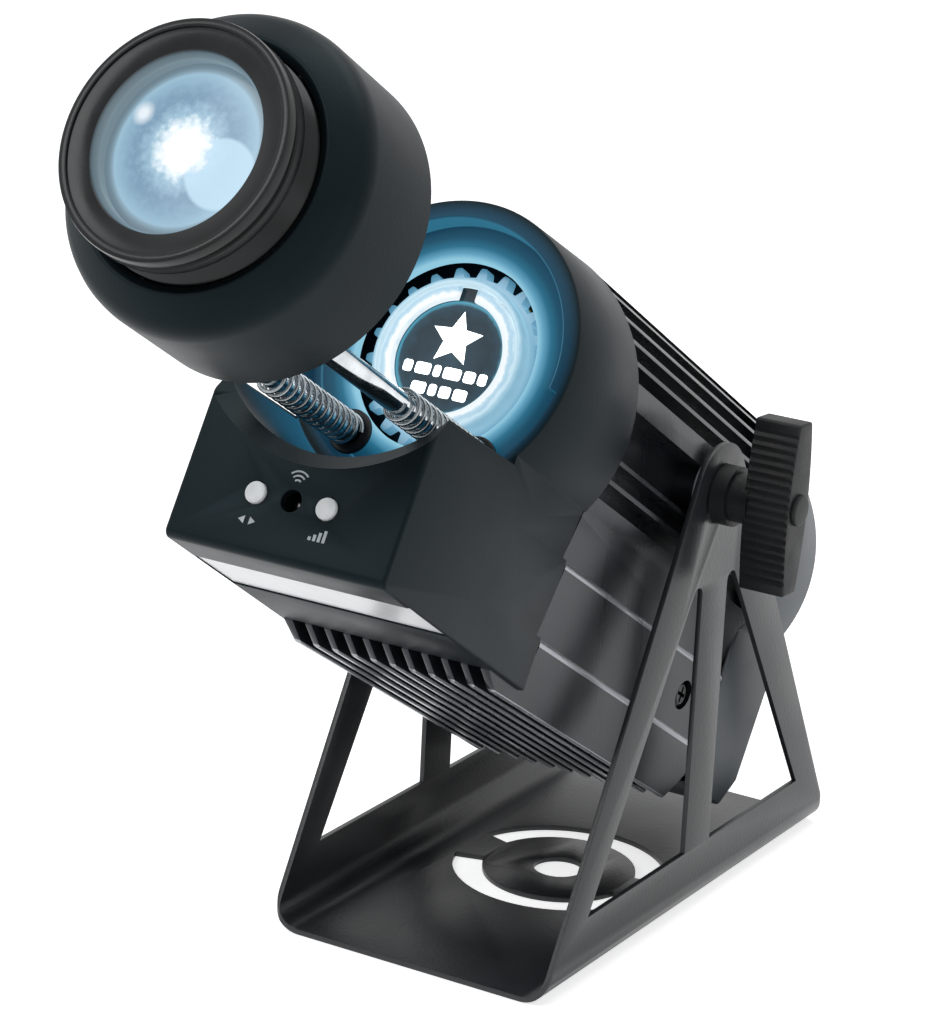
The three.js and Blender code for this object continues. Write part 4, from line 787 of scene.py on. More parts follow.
def placeCamera():
    place = cameraPlace
    azimuth, elevation, roll = (
        math.radians(place[k]) for k in ("azimuth", "elevation", "roll")
    )
    back = Vector(
        (
            math.sin(azimuth) * math.cos(elevation),
            -math.cos(azimuth) * math.cos(elevation),
            math.sin(elevation),
        )
    )
    right = Vector((math.cos(azimuth), math.sin(azimuth), 0))
    up = back.cross(right)
    level = Matrix((right, up, back)).transposed().to_4x4()
    turned = level @ Matrix.Rotation(roll, 4, "Z")
    bpy.ops.object.camera_add()
    camera = bpy.context.object
    camera.name = "photoCamera"
    centre = Vector(place["centre"]) * mm + Vector((0, pivotY, 0))
    camera.matrix_world = Matrix.Translation(centre) @ turned
    width, height = place["imageSize"]
    longSide = max(width, height)
    camera.data.sensor_width = place["sensor"]
    camera.data.sensor_fit = "AUTO"
    camera.data.lens = place["focalPixels"] / longSide * place["sensor"]
    camera.data.shift_x = (width / 2 - place["principal"][0]) / longSide
    camera.data.shift_y = (place["principal"][1] - height / 2) / longSide
    camera.data.clip_start, camera.data.clip_end = place["clip"]
    bpy.context.scene.camera = camera


placeCamera()
print("camera placed")


# Bracket
bracket = {
    "width": 84, "halfDepth": 78.8, "sheet": 1.5, "bend": 8, "corner": 3, "foot": 5,
    "apex": 13.5, "pivot": 118.3, "boltHole": 3.7,
    "strut": 6.95, "windowFoot": 59.2, "sill": 18.6, "windowTop": 92, "windowTip": 2.5,
    "hole": 6.95, "slotInner": 21.2, "slotOuter": 29.4, "bridge": 16.5, "edge": 0.22,
}


def makeBracket():
    b = bracket
    half, top = b["width"] / 2, b["pivot"] + b["apex"]
    inner = b["bend"] - b["sheet"]
    section = [(-half, top)] + arc(-half + b["bend"], b["bend"], b["bend"], 180, 270, 12)
    section += arc(half - b["bend"], b["bend"], b["bend"], 270, 360, 12) + [(half, top)]
    section += [(half - b["sheet"], top)] + arc(half - b["bend"], b["bend"], inner, 360, 270, 12)
    section += arc(-half + b["bend"], b["bend"], inner, 270, 180, 12) + [(b["sheet"] - half, top)]
    outline = [(x, -b["halfDepth"], z) for x, z in section]
    obj = extrudeOutline("bracketSheet", outline, (0, 2 * b["halfDepth"], 0))

    reach = math.hypot(b["halfDepth"], b["pivot"] - b["foot"])
    lean = math.degrees(
        math.atan2(b["pivot"] - b["foot"], b["halfDepth"]) + math.asin(b["apex"] / reach)
    )
    side = [(-b["halfDepth"], -1), (-b["halfDepth"], b["foot"])]
    side += arc(0, b["pivot"], b["apex"], lean + 90, 90 - lean, 36)
    side += [(b["halfDepth"], b["foot"]), (b["halfDepth"], -1)]
    outer = [(-half - spare, y, z) for y, z in side]
    across = (b["width"] + 2 * spare, 0, 0)
    combine(obj, extrudeOutline("sideCut", outer, across), "INTERSECT")

    plan = roundedBox(0, 0, half, b["halfDepth"], b["corner"], 8)
    bottom = [(x, y, -spare) for x, y in plan]
    planCut = extrudeOutline("planCut", bottom, (0, 0, top + 2 * spare))
    combine(obj, planCut, "INTERSECT")

    tipY, tipZ = b["strut"] + b["windowTip"], b["windowTop"]
    run = (tipY - b["windowFoot"], tipZ - b["sill"])
    slope = math.degrees(math.atan2(run[1], run[0]) - math.asin(b["windowTip"] / math.hypot(*run)))
    window = [(b["strut"], b["sill"]), (b["windowFoot"], b["sill"])]
    window += arc(tipY, tipZ, b["windowTip"], slope - 90, 180, 12)
    for way in (1, -1):
        outline = [(-half - spare, way * y, z) for y, z in window]
        cutAway(obj, extrudeOutline("windowCut", outline, across))
    for turn in (0, 180):
        slot = arc(0, 0, b["slotOuter"], turn + b["bridge"], turn + 180 - b["bridge"], 36)
        slot += arc(0, 0, b["slotInner"], turn + 180 - b["bridge"], turn + b["bridge"], 30)
        bottom = [(x, y, -spare) for x, y in slot]
        cutAway(obj, extrudeOutline("slotCut", bottom, (0, 0, b["sheet"] + 2 * spare)))
    cutAway(
        obj,
        roundBar("holeCut", b["hole"], -spare, b["sheet"] + spare, sides=64),
        crossBar("boltCut", b["boltHole"], -half - spare, half + spare, 0, b["pivot"]),
    )
    mergeClose(obj)
    softenEdges(obj, b["edge"], angle=50)
    finishPiece(obj, looks["powderCoat"], "bracket", ["bracket"], standMatrix)


makeBracket()
print("bracket ready")


# Finned lamp body
sink = {
    "radius": 39.85, "edge": 31.9, "rear": -56.8, "finPitch": 5.25, "finThickness": 1.2,
    "firstFin": 9.5, "grooves": 5, "grooveDepth": 10,
    "pivotTop": 3.3, "pivotBottom": -9.4, "pivotDepth": 7.5,
    "lowGrooves": (-12.4, -17.4), "lowHeight": 4, "lowDepth": 5,
    "boardTops": (-36.87, -57.49), "boardSteps": (1.7, 1.8, 1.2), "shoulder": 1.5, "boardBottom": -69,
    "finsBelow": 11, "pitchBelow": 5.73, "thicknessBelow": 1.9, "tip": -75, "root": -63.6,
    "frontEnd": 68.6, "frontCorner": -71.2, "slant": 7.6, "rearTip": -49,
    "seamLow": 50.9, "seamTop": 62.9, "seamKnee": -25, "seamAt": 38.8,
    "pivotFace": 38.45, "washerFlat": 11.3,
    "bossRadius": 9, "bossInner": 30.4, "studHole": 3.3, "studDepth": 12,
    "screwBore": 4.1, "screwDepth": 2.4, "screwAt": (-48, -38.5),
    "cavity": 25.6, "cavityHalf": 24.7, "cavityFloor": -59, "wallBack": 40, "wallFront": 50,
    "faceRecess": 33, "collar": (32.8, 33.8, -13), "lowFaceHalf": 28.6, "rodHole": 5.2,
    "faceEnd": 80, "collarEnd": 65, "collarLap": 0.5, "bevel": 0.18, "tipEase": 0.3, "rootEase": 0.6,
    "rearLedge": 0.2, "bossSunk": 0.3,
}


# The right half of the body's section, from the top down.
def sinkHalf():
    s = sink
    r = s["radius"]

    def outer(y):
        return math.sqrt(r * r - y * y)

    def angleAt(y):
        return math.degrees(math.asin(y / r))

    grooves = []
    for i in reversed(range(s["grooves"])):
        low = s["firstFin"] + s["finThickness"] / 2 + i * s["finPitch"]
        grooves.append((low + s["finPitch"] - s["finThickness"], low, s["grooveDepth"]))
    grooves.append((s["pivotTop"], s["pivotBottom"], s["pivotDepth"]))
    for middle in s["lowGrooves"]:
        grooves.append((middle + s["lowHeight"] / 2, middle - s["lowHeight"] / 2, s["lowDepth"]))
    points, angle = [], 90
    for high, low, depth in grooves:
        inner = outer((high + low) / 2) - depth
        steps = max(2, round((angle - angleAt(high)) / 4))
        points += arc(0, 0, r, angle, angleAt(high), steps)
        points += [(inner, high), (inner, low)]
        angle = angleAt(low)
    points += arc(0, 0, r, angle, -math.degrees(math.acos(s["edge"] / r)), 4)
    round_ = s["shoulder"]
    for top, step in zip(s["boardTops"], s["boardSteps"]):  # each board leans in over the next one
        points.append((s["edge"] - step, top))
        points += arc(s["edge"] - round_, top - round_, round_, 90, 0, 6)
    points.append((s["edge"] - s["boardSteps"][-1], s["boardBottom"]))
    half, tip, root = s["thicknessBelow"] / 2, s["tip"], s["root"]
    ease, fillet = s["tipEase"], s["rootEase"]
    for i in range((s["finsBelow"] - 1) // 2, 0, -1):
        near, far = i * s["pitchBelow"] - half, i * s["pitchBelow"] + half
        following = far - s["pitchBelow"]
        points += [(far, tip + ease), (far - ease, tip), (near + ease, tip), (near, tip + ease)]
        points += [(near, root - fillet), (near - fillet, root)]
        points += [(following + fillet, root), (following, root - fillet)]
    points += [(half, tip + ease), (half - ease, tip)]
    return points


def makeSink():
    s = sink
    right = sinkHalf()
    left = [(-x, y) for x, y in reversed(right)]
    section = right + left[:-1]
    obj = frontOutline("finnedBody", section, s["rear"], s["frontEnd"])
    slope = (s["seamTop"] - s["seamLow"]) / (s["seamAt"] - s["seamKnee"])
    top, wide = beyond["top"], beyond["side"]
    frontCut = [
        (s["seamLow"], s["root"]), (s["seamLow"], s["seamKnee"]),
        (s["seamTop"] + slope * spare, top), (s["faceEnd"], top), (s["faceEnd"], s["root"]),
    ]
    rearCut = [
        (s["rear"] - spare, s["root"]), (s["rear"] + s["rearLedge"], s["root"]),
        (s["rearTip"], s["tip"]), (s["rearTip"], s["tip"] - spare),
        (s["rear"] - spare, s["tip"] - spare),
    ]
    tipCut = [
        (s["frontEnd"] - s["slant"], s["tip"]), (s["frontEnd"], s["frontCorner"]),
        (s["frontEnd"] + spare, s["frontCorner"]), (s["frontEnd"] + spare, s["tip"] - spare),
        (s["frontEnd"] - s["slant"], s["tip"] - spare),
    ]
    cutAway(
        obj,
        sideOutline("frontCut", frontCut, -wide, wide),
        sideOutline("rearCut", rearCut, -wide, wide),
        sideOutline("tipCut", tipCut, -wide, wide),
    )
    half = s["cavityHalf"]
    cutAway(
        obj,
        roundBar("cavityCut", s["cavity"], s["rear"] - spare, s["wallBack"], sides=72),
        brick("roomCut", (-half, s["cavityFloor"], s["rear"] - spare), (half, 0, s["wallBack"])),
        roundBar("faceCut", s["faceRecess"], s["wallFront"], s["faceEnd"], sides=72),
        brick(
            "lowFaceCut",
            (-s["lowFaceHalf"], s["cavityFloor"], s["wallFront"]),
            (s["lowFaceHalf"], 0, s["faceEnd"]),
        ),
    )
    inner, outer, low = s["collar"]  # closes the room where the grooves would let one look in
    start, end = s["wallFront"] - s["collarLap"], s["collarEnd"]
    collar = spinProfile("roomCollar", [(inner, start), (outer, start), (outer, end), (inner, end)])
    cutAway(
        collar,
        sideOutline("frontCut", frontCut, -wide, wide),
        brick("belowCut", (-wide, -wide, start - spare), (wide, low, end + spare)),
    )
    joinTo(obj, collar)
    edge = s["edge"]
    for side in (-1, 1):
        boss = sorted((side * s["bossInner"], side * (s["pivotFace"] - s["bossSunk"])))
        joinTo(obj, crossBar("pivotBoss", s["bossRadius"], *boss, sides=64))
        flat = sorted((side * s["pivotFace"], side * (s["radius"] + spare)))
        stud = sorted((side * (s["pivotFace"] - s["studDepth"]), side * (s["radius"] + spare)))
        bore = sorted((side * (edge - max(s["boardSteps"]) - s["screwDepth"]), side * (edge + spare)))
        y, z = s["screwAt"]
        cutAway(
            obj,
            crossBar("washerCut", s["washerFlat"], *flat, sides=64),
            crossBar("studCut", s["studHole"], *stud),
            crossBar("boreCut", s["screwBore"], *bore, y, z),
            roundBar(
                "rodCut", s["rodHole"], s["wallBack"] - spare, s["wallFront"] + spare,
                (side * rodAt[0], rodAt[1]),
            ),
        )
    mergeClose(obj)
    softenEdges(obj, s["bevel"], angle=50, segments=1)
    # the body's finish paints highlights on its board shoulders and fin tips
    finishPiece(obj, looks["rubbedExtrusion"], "head", ["heatsink_body"])


makeSink()
print("finned body ready")


# Front cover with its control block
cover = {
    "radius": 38.8, "half": 31.15, "seamRadius": 40.2, "seamHalf": 32.25,
    "seamLow": 51.5, "seamTop": 63.5, "seamKnee": -25,
    "seamBottom": -71.6, "front": 92.3, "lip": 0.7, "recess": 34, "lowRecess": 36.5,
    "lowRecessTop": -4.2, "rimEase": 0.5,
    "floor": 86.6, "floorBack": 84.2, "well": 25, "wall": 2.4, "panel": 132, "panelBottom": -68.7,
    "saddle": 40.2, "saddleMouth": 44.5, "saddleBevel": 4.2, "backing": 46.6,
    "bush": 4.5, "eye": 2.8, "keyHole": 3.05, "keyAt": (10, -53.5), "tubeBack": 49, "roomBack": 40,
    "doorHalf": 30, "doorFront": 69, "doorTop": -63.3,
    "band": (95.8, 117), "bandDepth": 0.8, "bandHalf": 30.95, "stripInset": 0.4, "stripGap": 0.05,
    "stripThick": 0.3, "stripSide": 0.3,
    "fade": 32, "fadeRises": (17.25, 20.62), "corner": 2.2, "edge": 0.9, "bevel": 0.25,
}


# The cover widens towards the seam: its round part and its straight sides.
def coverRadius(z):
    c = cover
    middle = (c["seamLow"] + c["seamTop"]) / 2
    return c["radius"] + (c["seamRadius"] - c["radius"]) * (c["front"] - z) / (c["front"] - middle)


def coverHalf(z):
    c = cover
    share = (c["panel"] - z) / (c["panel"] - c["seamLow"])
    return c["half"] + (c["seamHalf"] - c["half"]) * share


def seamCutter(low, top, knee):
    back, foot, rise = cover["roomBack"] / 2, -beyond["below"], 2 * spare
    high = cover["radius"] + rise
    slope = (top - low) / (cover["radius"] - knee)
    return sideOutline(
        "seamCut",
        [(back, foot), (low, foot), (low, knee), (top + slope * rise, high), (back, high)],
        -beyond["side"],
        beyond["side"],
    )


def undersideAt(z):
    c = cover
    share = (z - c["seamLow"]) / (c["panel"] - c["seamLow"])
    return c["seamBottom"] + (c["panelBottom"] - c["seamBottom"]) * share


def makeFrontCover():
    c = cover
    corner = c["corner"]
    low = [(c["seamLow"], c["seamBottom"])]
    low += arc(c["panel"] - corner, c["panelBottom"] + corner, corner, -90, 0, 6)
    low += [(c["panel"], 0), (c["seamLow"], 0)]
    obj = sideOutline("frontCover", low, -c["half"], c["half"])
    widenAt(obj, c["seamLow"], c["seamHalf"] / c["half"])
    softenEdges(obj, c["edge"], angle=60, segments=3)
    tube = spinProfile(
        "coverTube",
        [
            (0, c["tubeBack"]), (coverRadius(c["tubeBack"]), c["tubeBack"]),
            (c["radius"], c["front"] - c["lip"]),
            (c["radius"] - c["lip"] * 0.3, c["front"] - c["lip"] * 0.3),  # the lip's round edge
            (c["radius"] - c["lip"], c["front"]), (0, c["front"]),
        ],
        steps=144,
    )
    joinTo(obj, tube)
    bevelRun = c["saddleMouth"] - c["saddle"]
    saddle = spinProfile(
        "saddleCut",
        [
            (0, c["floor"]), (c["recess"], c["floor"]), (c["recess"], c["front"] - c["rimEase"]),
            (c["recess"] + c["rimEase"], c["front"]), (c["saddle"], c["front"]),
            (c["saddle"], c["panel"] - c["saddleBevel"]),
            (c["saddleMouth"] + bevelRun * 0.5, c["panel"] + c["saddleBevel"] * 0.5),
            (0, c["panel"] + c["saddleBevel"] * 0.5),
        ],
        steps=144,
    )
    lowRecess = roundBar("lowRecessCut", c["lowRecess"], c["floor"], c["front"] + spare, sides=144)
    belowAxis = brick(
        "belowAxis",
        (-beyond["side"], -beyond["side"], c["floorBack"]),
        (beyond["side"], c["lowRecessTop"], c["front"] + 2 * spare),
    )
    combine(lowRecess, belowAxis, "INTERSECT")
    wall, start = c["wall"], c["roomBack"]
    room = roundBar(
        "roomCut", coverRadius(start) - wall, start, c["floorBack"],
        sides=96, end=coverRadius(c["floorBack"]) - wall,
    )
    lowRoom = sideOutline(
        "lowRoomCut",
        [
            (start, c["seamBottom"] + wall), (c["seamLow"], c["seamBottom"] + wall),
            (c["panel"] - wall, c["panelBottom"] + wall), (c["panel"] - wall, 0), (start, 0),
        ],
        wall - c["half"],
        c["half"] - wall,
    )
    widenAt(lowRoom, start, (coverHalf(start) - wall) / (c["half"] - wall))
    cutAway(lowRoom, roundBar("backing", c["backing"], c["floorBack"], c["panel"], sides=96))
    cutAway(obj, saddle, lowRecess, room, lowRoom)
    keyX, keyY = c["keyAt"]
    inside = c["panel"] - wall - 1
    cutAway(
        obj,
        roundBar("wellCut", c["well"], c["floorBack"] - spare, c["front"], sides=96),
        roundBar("eyeCut", c["eye"], inside, c["panel"] + spare, (0, keyY)),
    )
    for side in (-1, 1):
        cutAway(
            obj,
            roundBar("keyCut", c["keyHole"], inside, c["panel"] + spare, (side * keyX, keyY)),
            roundBar(
                "bushCut", c["bush"], c["floorBack"] - spare, c["front"],
                (side * rodAt[0], rodAt[1]),
            ),
        )
    back, front = c["band"]
    band = [
        (back, undersideAt(back) - spare), (front, undersideAt(front) - spare),
        (front, undersideAt(front) + c["bandDepth"]), (back, undersideAt(back) + c["bandDepth"]),
    ]
    cutAway(
        obj,
        brick(
            "doorCut",
            (-c["doorHalf"], -beyond["below"], c["roomBack"]),
            (c["doorHalf"], c["doorTop"], c["doorFront"]),
        ),
        sideOutline("bandCut", band, -c["bandHalf"], c["bandHalf"]),
        seamCutter(c["seamLow"], c["seamTop"], c["seamKnee"]),
    )
    start, end = c["seamLow"] - spare, c["seamLow"] + c["fade"]
    for top, rise, step in zip(sink["boardTops"], c["fadeRises"], sink["boardSteps"]):
        deep = step * (1 + spare / c["fade"])
        near, far = coverHalf(start), coverHalf(end)
        for side in (-1, 1):  # the boards' steps run on and fade out
            corners = [
                (side * (near - deep), top, start), (side * (near + spare), top, start),
                (side * near, top + rise, start), (side * far, top, end),
            ]
            cutAway(obj, wrapPoints("fadeCut", corners))
    mergeClose(obj)
    softenEdges(obj, c["bevel"], angle=50)
    finishPiece(obj, looks["litCoverAbs"], "head", ["front_cover"])

    # the white strip in the underside band is a painted reflection
    inset, top = c["stripInset"], c["bandDepth"] - c["stripGap"]
    bottom = top - c["stripThick"]
    strip = sideOutline(
        "paleStrip",
        [
            (back + inset, undersideAt(back) + bottom), (front - inset, undersideAt(front) + bottom),
            (front - inset, undersideAt(front) + top), (back + inset, undersideAt(back) + top),
        ],
        c["stripSide"] - c["bandHalf"],
        c["bandHalf"] - c["stripSide"],
    )
    finishPiece(strip, looks["paintedReflectionWhite"], "head")


makeFrontCover()
print("front cover ready")


# Printed marks on the control panel: plain arrows, bars and waves
marks = {
    "thick": 0.06, "size": 1.7, "line": 0.42, "labelY": -60.4, "waveY": -49.4, "waveStep": 1.1,
    "arrowGap": 0.7, "arrowHalf": 1, "barStart": 2.4, "barPitch": 1.3, "barWidth": 0.8,
    "barDrop": 1.2, "barStep": 0.7,
}


def makeMarks():
    m = marks
    back, front = cover["panel"], cover["panel"] + m["thick"]
    pieces = []
    keyX = cover["keyAt"][0]
    for way in (-1, 1):  # left and right arrowheads under the left key
        x = -keyX + way * m["arrowGap"]
        tip = x + way * m["size"]
        low, high = m["labelY"] - m["arrowHalf"], m["labelY"] + m["arrowHalf"]
        outline = [(x, low), (tip, m["labelY"]), (x, high)]
        pieces.append(frontOutline("arrow", outline, back, front))
    for i in range(4):  # rising bars under the right key
        x = keyX - m["barStart"] + i * m["barPitch"]
        end = x + m["barWidth"]
        low = m["labelY"] - m["barDrop"]
        high = m["labelY"] - m["arrowHalf"] + m["barStep"] * (i + 1)
        outline = [(x, low), (end, low), (end, high), (x, high)]
        pieces.append(frontOutline("bar", outline, back, front))
    for i in range(3):  # waves above the receiver
        radius = m["waveStep"] * (i + 1)
        outline = arc(0, m["waveY"], radius + m["line"] / 2, 45, 135, 10)
        outline += arc(0, m["waveY"], radius - m["line"] / 2, 135, 45, 10)
        pieces.append(frontOutline("wave", outline, back, front))
    finishPiece(gather(pieces, "panelMarks"), looks["screenInk"], "head")


makeMarks()
print("panel marks ready")


# Rear cover, its screws and the cord's gland
rear = {
    "backRadius": 36.5, "frontRadius": 39.89, "taperOn": 0.31, "half": 31.9, "front": -57.1,
    "bottom": -68.9, "top": -73, "middle": -87, "middleY": -30, "low": -86, "lowY": -60,
    "foot": -79, "wall": 2.4,
    "screwX": (24, 23), "screwY": (17, -56), "post": 4, "shankHole": 1.7, "headHole": 3.2,
    "headDepth": 1.6, "gland": -44, "glandHole": 6.5, "edge": 0.9, "bevel": 0.8,
}
screws = {
    "rear": {"head": 2.9, "headHeight": 1.6, "shank": 1.4, "length": 7, "proud": 0.3},
    "side": {"head": 3.8, "headHeight": 2.3, "shank": 1.4, "length": 1.8, "proud": 2.7},
}
gland = {
    "hexRadius": 9.6, "hexThick": 4, "seat": 0.6, "thread": 6.2, "inside": 8.5, "outside": 5.5,
    "bore": 3.8, "nutGap": 0.3, "nutLength": 9, "nutBore": 6.5, "nutRadius": 8.4, "flutes": 12,
    "fluteRadius": 0.9, "fluteAt": 8.9, "fluteLength": 4.2, "bevel": 0.4, "lap": 0.3, "ease": 0.3,
    "nutStraight": 4.5, "nutShoulder": 7, "mouth": (5.8, 5.3),
}


def rearFaceAt(y):
    r = rear
    if y > r["middleY"]:
        share = (y - r["middleY"]) / (beyond["top"] - r["middleY"])
        return r["middle"] + (r["top"] - r["middle"]) * share
    return r["low"] + (r["middle"] - r["low"]) * (y - r["lowY"]) / (r["middleY"] - r["lowY"])


def rearSolid(name, inset):
    r = rear
    front = r["front"] + (spare if inset else 0)
    tube = roundBar(
        name, r["backRadius"] - inset, r["middle"] - spare, front,
        sides=144, end=r["frontRadius"] + (r["taperOn"] if inset else 0) - inset,
    )
    box = brick(
        "box",
        (inset - r["half"], r["bottom"] + inset, r["middle"] - spare), (r["half"] - inset, 0, front),
    )
    if not inset:
        softenEdges(box, r["edge"], angle=60, segments=3)
    joinTo(tube, box)
    foot = r["bottom"] + (inset or -1)
    outline = [
        (front + 1, foot), (r["foot"] + inset, foot), (r["low"] + inset, r["lowY"] + inset / 2),
        (r["middle"] + inset, r["middleY"]), (r["top"] + inset, beyond["top"]),
        (front + 1, beyond["top"]),
    ]
    wide = beyond["side"]
    return combine(tube, sideOutline("rearOutline", outline, -wide, wide), "INTERSECT")


def makeRearCover():
    r = rear
    obj = rearSolid("rearCover", 0)
    mergeClose(obj)
    softenEdges(obj, r["bevel"], angle=28, segments=3)
    cutAway(obj, rearSolid("inside", r["wall"]))
    behind = r["middle"] - 2 * spare
    for x, y in zip(r["screwX"], r["screwY"]):
        face = rearFaceAt(y)
        for side in (-1, 1):
            at, headEnd = (side * x, y), face + r["headDepth"]
            joinTo(obj, roundBar("post", r["post"], face + 1, r["front"], at))
            cutAway(
                obj,
                roundBar("shankCut", r["shankHole"], face - spare, r["front"] + spare, at, 24),
                roundBar("headCut", r["headHole"], behind, headEnd, at),
            )
    cutAway(obj, roundBar("glandCut", r["glandHole"], behind, r["front"], (0, r["gland"])))
    mergeClose(obj)
    finishPiece(obj, looks["paleGreyAbs"], "head", ["rear_cover"])


# A pan-head screw along z, its head from z = 0 and its cross recess at the back.
def screwPiece(name, kind):
    head, high, shank = kind["head"], kind["headHeight"], kind["shank"]
    end = high + kind["length"]
    obj = spinProfile(
        name,
        [
            (0, 0), (head * 0.7, 0.05), (head * 0.93, high * 0.3), (head, high * 0.7),
            (head, high), (shank, high), (shank, end), (0, end),
        ],
        steps=32,
        closed=False,
    )
    reach, width, deep = head * 0.58, head * 0.13, high * 0.6
    cross = brick("crossA", (-reach, -width, -1), (reach, width, deep))
    joinTo(cross, brick("crossB", (-width, -reach, -1), (width, reach, deep)))
    return cutAway(obj, cross)


def makeScrews():
    r = rear
    model = screwPiece("rearScrew", screws["rear"])
    number = 0
    for x, y in zip(r["screwX"], r["screwY"]):
        for side in (-1, 1):
            number += 1
            obj = copyOf(model, f"rearScrew{number}")
            shift(obj, side * x, y, rearFaceAt(y) - screws["rear"]["proud"])
            finishPiece(obj, looks["blackenedSteel"], "head", [f"rear_screw_{number}"])
    bpy.data.objects.remove(model)
    seat = sink["edge"] - max(sink["boardSteps"]) - sink["screwDepth"]
    y, z = sink["screwAt"]
    for name, side in twoSides.items():
        obj = screwPiece(f"sideScrew_{name}", screws["side"])
        obj.rotation_euler = (0, -side * math.pi / 2, 0)
        shift(obj, side * (seat + screws["side"]["proud"]), y, z)
        finishPiece(obj, looks["blackenedSteel"], "head", [f"side_screw_{name}"])


def makeGland():
    g = gland
    face = rearFaceAt(rear["gland"]) - g["seat"]
    hexBack = face - g["hexThick"]
    body = roundBar("hexFlange", g["hexRadius"], hexBack, face, sides=6)
    softenEdges(body, g["bevel"], angle=40)
    joinTo(
        body,
        roundBar("thread", g["thread"], face - g["lap"], face + g["inside"]),
        roundBar("neck", g["thread"], hexBack - g["outside"], hexBack + g["lap"]),
    )
    start, end = hexBack - g["outside"] - spare, face + g["inside"] + spare
    cutAway(body, roundBar("boreCut", g["bore"], start, end))
    shift(body, 0, rear["gland"], 0)
    finishPiece(body, looks["filledNylon"], "head", ["cable_gland_body"])
    start = hexBack - g["nutGap"]
    end, ledge = start - g["nutLength"], hexBack - g["outside"] - g["nutGap"]
    outer = g["nutRadius"]
    nut = spinProfile(
        "glandNut",
        [
            (g["nutBore"], start), (outer - g["ease"], start), (outer, start - g["ease"]),
            (outer, start - g["nutStraight"]), (outer - 1, start - g["nutShoulder"]),
            (g["mouth"][0], end + 0.2), (g["mouth"][1], end), (g["bore"] + 0.1, end),
            (g["bore"], end + g["ease"]), (g["bore"], ledge), (g["nutBore"], ledge),
        ],
        steps=64,
    )
    for i in range(g["flutes"]):
        turn = 2 * math.pi * i / g["flutes"]
        at = (g["fluteAt"] * math.cos(turn), g["fluteAt"] * math.sin(turn))
        flute = roundBar("fluteCut", g["fluteRadius"], start - g["fluteLength"], start + 1, at, 16)
        cutAway(nut, flute)
    shift(nut, 0, rear["gland"], 0)
    finishPiece(nut, looks["filledNylon"], "head", ["cable_gland_nut"])


makeRearCover()
makeScrews()
makeGland()
print("rear cover ready")


# Nose, lens tube, focus ring and lenses
nose = {
    "profile": [
        (36.4, 176.7), (36.7, 176.4), (38.4, 176.4), (38.8, 176.8), (38.8, 203),
        (38.62, 204.6), (38.1, 206.3), (37.2, 207.8), (36.0, 208.9), (31.3, 212.2),
        (30.9, 212.4), (30.2, 212.3), (28.9, 211.2), (28.6, 210.8), (28.6, 193),
        (24, 193), (24, 189), (36.4, 189),
    ],
    "socket": (3.3, 186, 193.3),
}
tube = {
    "radius": 28.2, "back": 200, "front": 219, "bore": 22.8, "waist": 20.8, "waistZ": (208, 213.4),
    "threadStart": 206, "threadPitch": 1, "threadDepth": 0.5, "threadRunout": 1.3,
}
lenses = {"radius": 22.5, "gap": 0.3, "edges": (5.2, 2.4), "crowns": (7.3, 6.4), "flat": 0.01}
ring = {
    "profile": [
        (20.5, 219.3), (28.3, 219.3), (28.63, 219.6), (28.63, 221.3), (28.0, 221.6),
        (27.9, 222.2), (28.0, 222.8), (28.63, 223.1), (28.63, 225.1), (28.45, 225.7), (27.9, 226),
        (26.9, 226), (26.55, 225.8), (26.4, 225.2), (25.6, 225.0), (21.7, 224.6), (21.4, 224.3),
        (20.8, 222.0), (20.5, 221.7),
    ],
}


def makeNose():
    obj = spinProfile("noseShell", nose["profile"], steps=160)
    for side in (-1, 1):
        cutAway(obj, roundBar("socketCut", *nose["socket"], (side * rodAt[0], rodAt[1])))
    finishPiece(obj, looks["mouldedAbs"], "nose", ["nose_cone"], smooth=40)

    t = tube
    profile = [(t["bore"], t["back"]), (t["radius"], t["back"])]
    z = t["threadStart"]
    while z < t["front"] - t["threadRunout"]:  # thread crests, one pitch apart
        profile += [(t["radius"], z), (t["radius"] - t["threadDepth"], z + t["threadPitch"] / 2)]
        z += t["threadPitch"]
    profile += [(t["radius"], z), (t["radius"], t["front"]), (t["bore"], t["front"])]
    low, high = t["waistZ"]
    profile += [(t["bore"], high), (t["waist"], high), (t["waist"], low), (t["bore"], low)]
    obj = spinProfile("lensTube", profile, steps=128)
    finishPiece(obj, looks["turnedAnodised"], "lens_tube", ["lens_tube"])

    obj = spinProfile("focusRing", ring["profile"], steps=160)
    finishPiece(obj, looks["litRing"], "focus_ring", ["focus_ring"], smooth=40)


def dome(radius, edge, crown, steps=14):
    rise = crown - edge
    ball = (radius * radius + rise * rise) / (2 * abs(rise))
    points = []
    for i in range(steps + 1):
        r = radius * (1 - i / steps)
        drop = ball - math.sqrt(ball * ball - r * r)
        points.append((r, crown - math.copysign(drop, rise)))
    return points


# A lens between two domes, from the heights of their edges and crowns.
def lensPiece(name, edges, crowns, look, node):
    radius = lenses["radius"]
    profile = dome(radius, edges[0], crowns[0])[::-1] + dome(radius, edges[1], crowns[1])
    obj = spinProfile(name, profile, steps=96, closed=False)
    finishPiece(obj, looks[look], "lens_tube", [node], smooth=25)


def makeLenses():
    frontEdge, rearEdge = lenses["edges"]
    frontCrown, rearCrown = lenses["crowns"]
    flat, gap = lenses["flat"], lenses["gap"]
    seat = tube["waistZ"][1] + gap
    edges, crowns = (seat, seat + frontEdge), (seat - flat, seat + frontCrown)
    lensPiece("frontLens", edges, crowns, "lensLight", "objective_lens_front")
    seat = tube["waistZ"][0] - gap
    edges, crowns = (seat - rearEdge, seat), (seat - rearCrown, seat + flat)
    lensPiece("rearLens", edges, crowns, "lensGlass", "objective_lens_rear")


makeNose()
makeLenses()
print("nose ready")


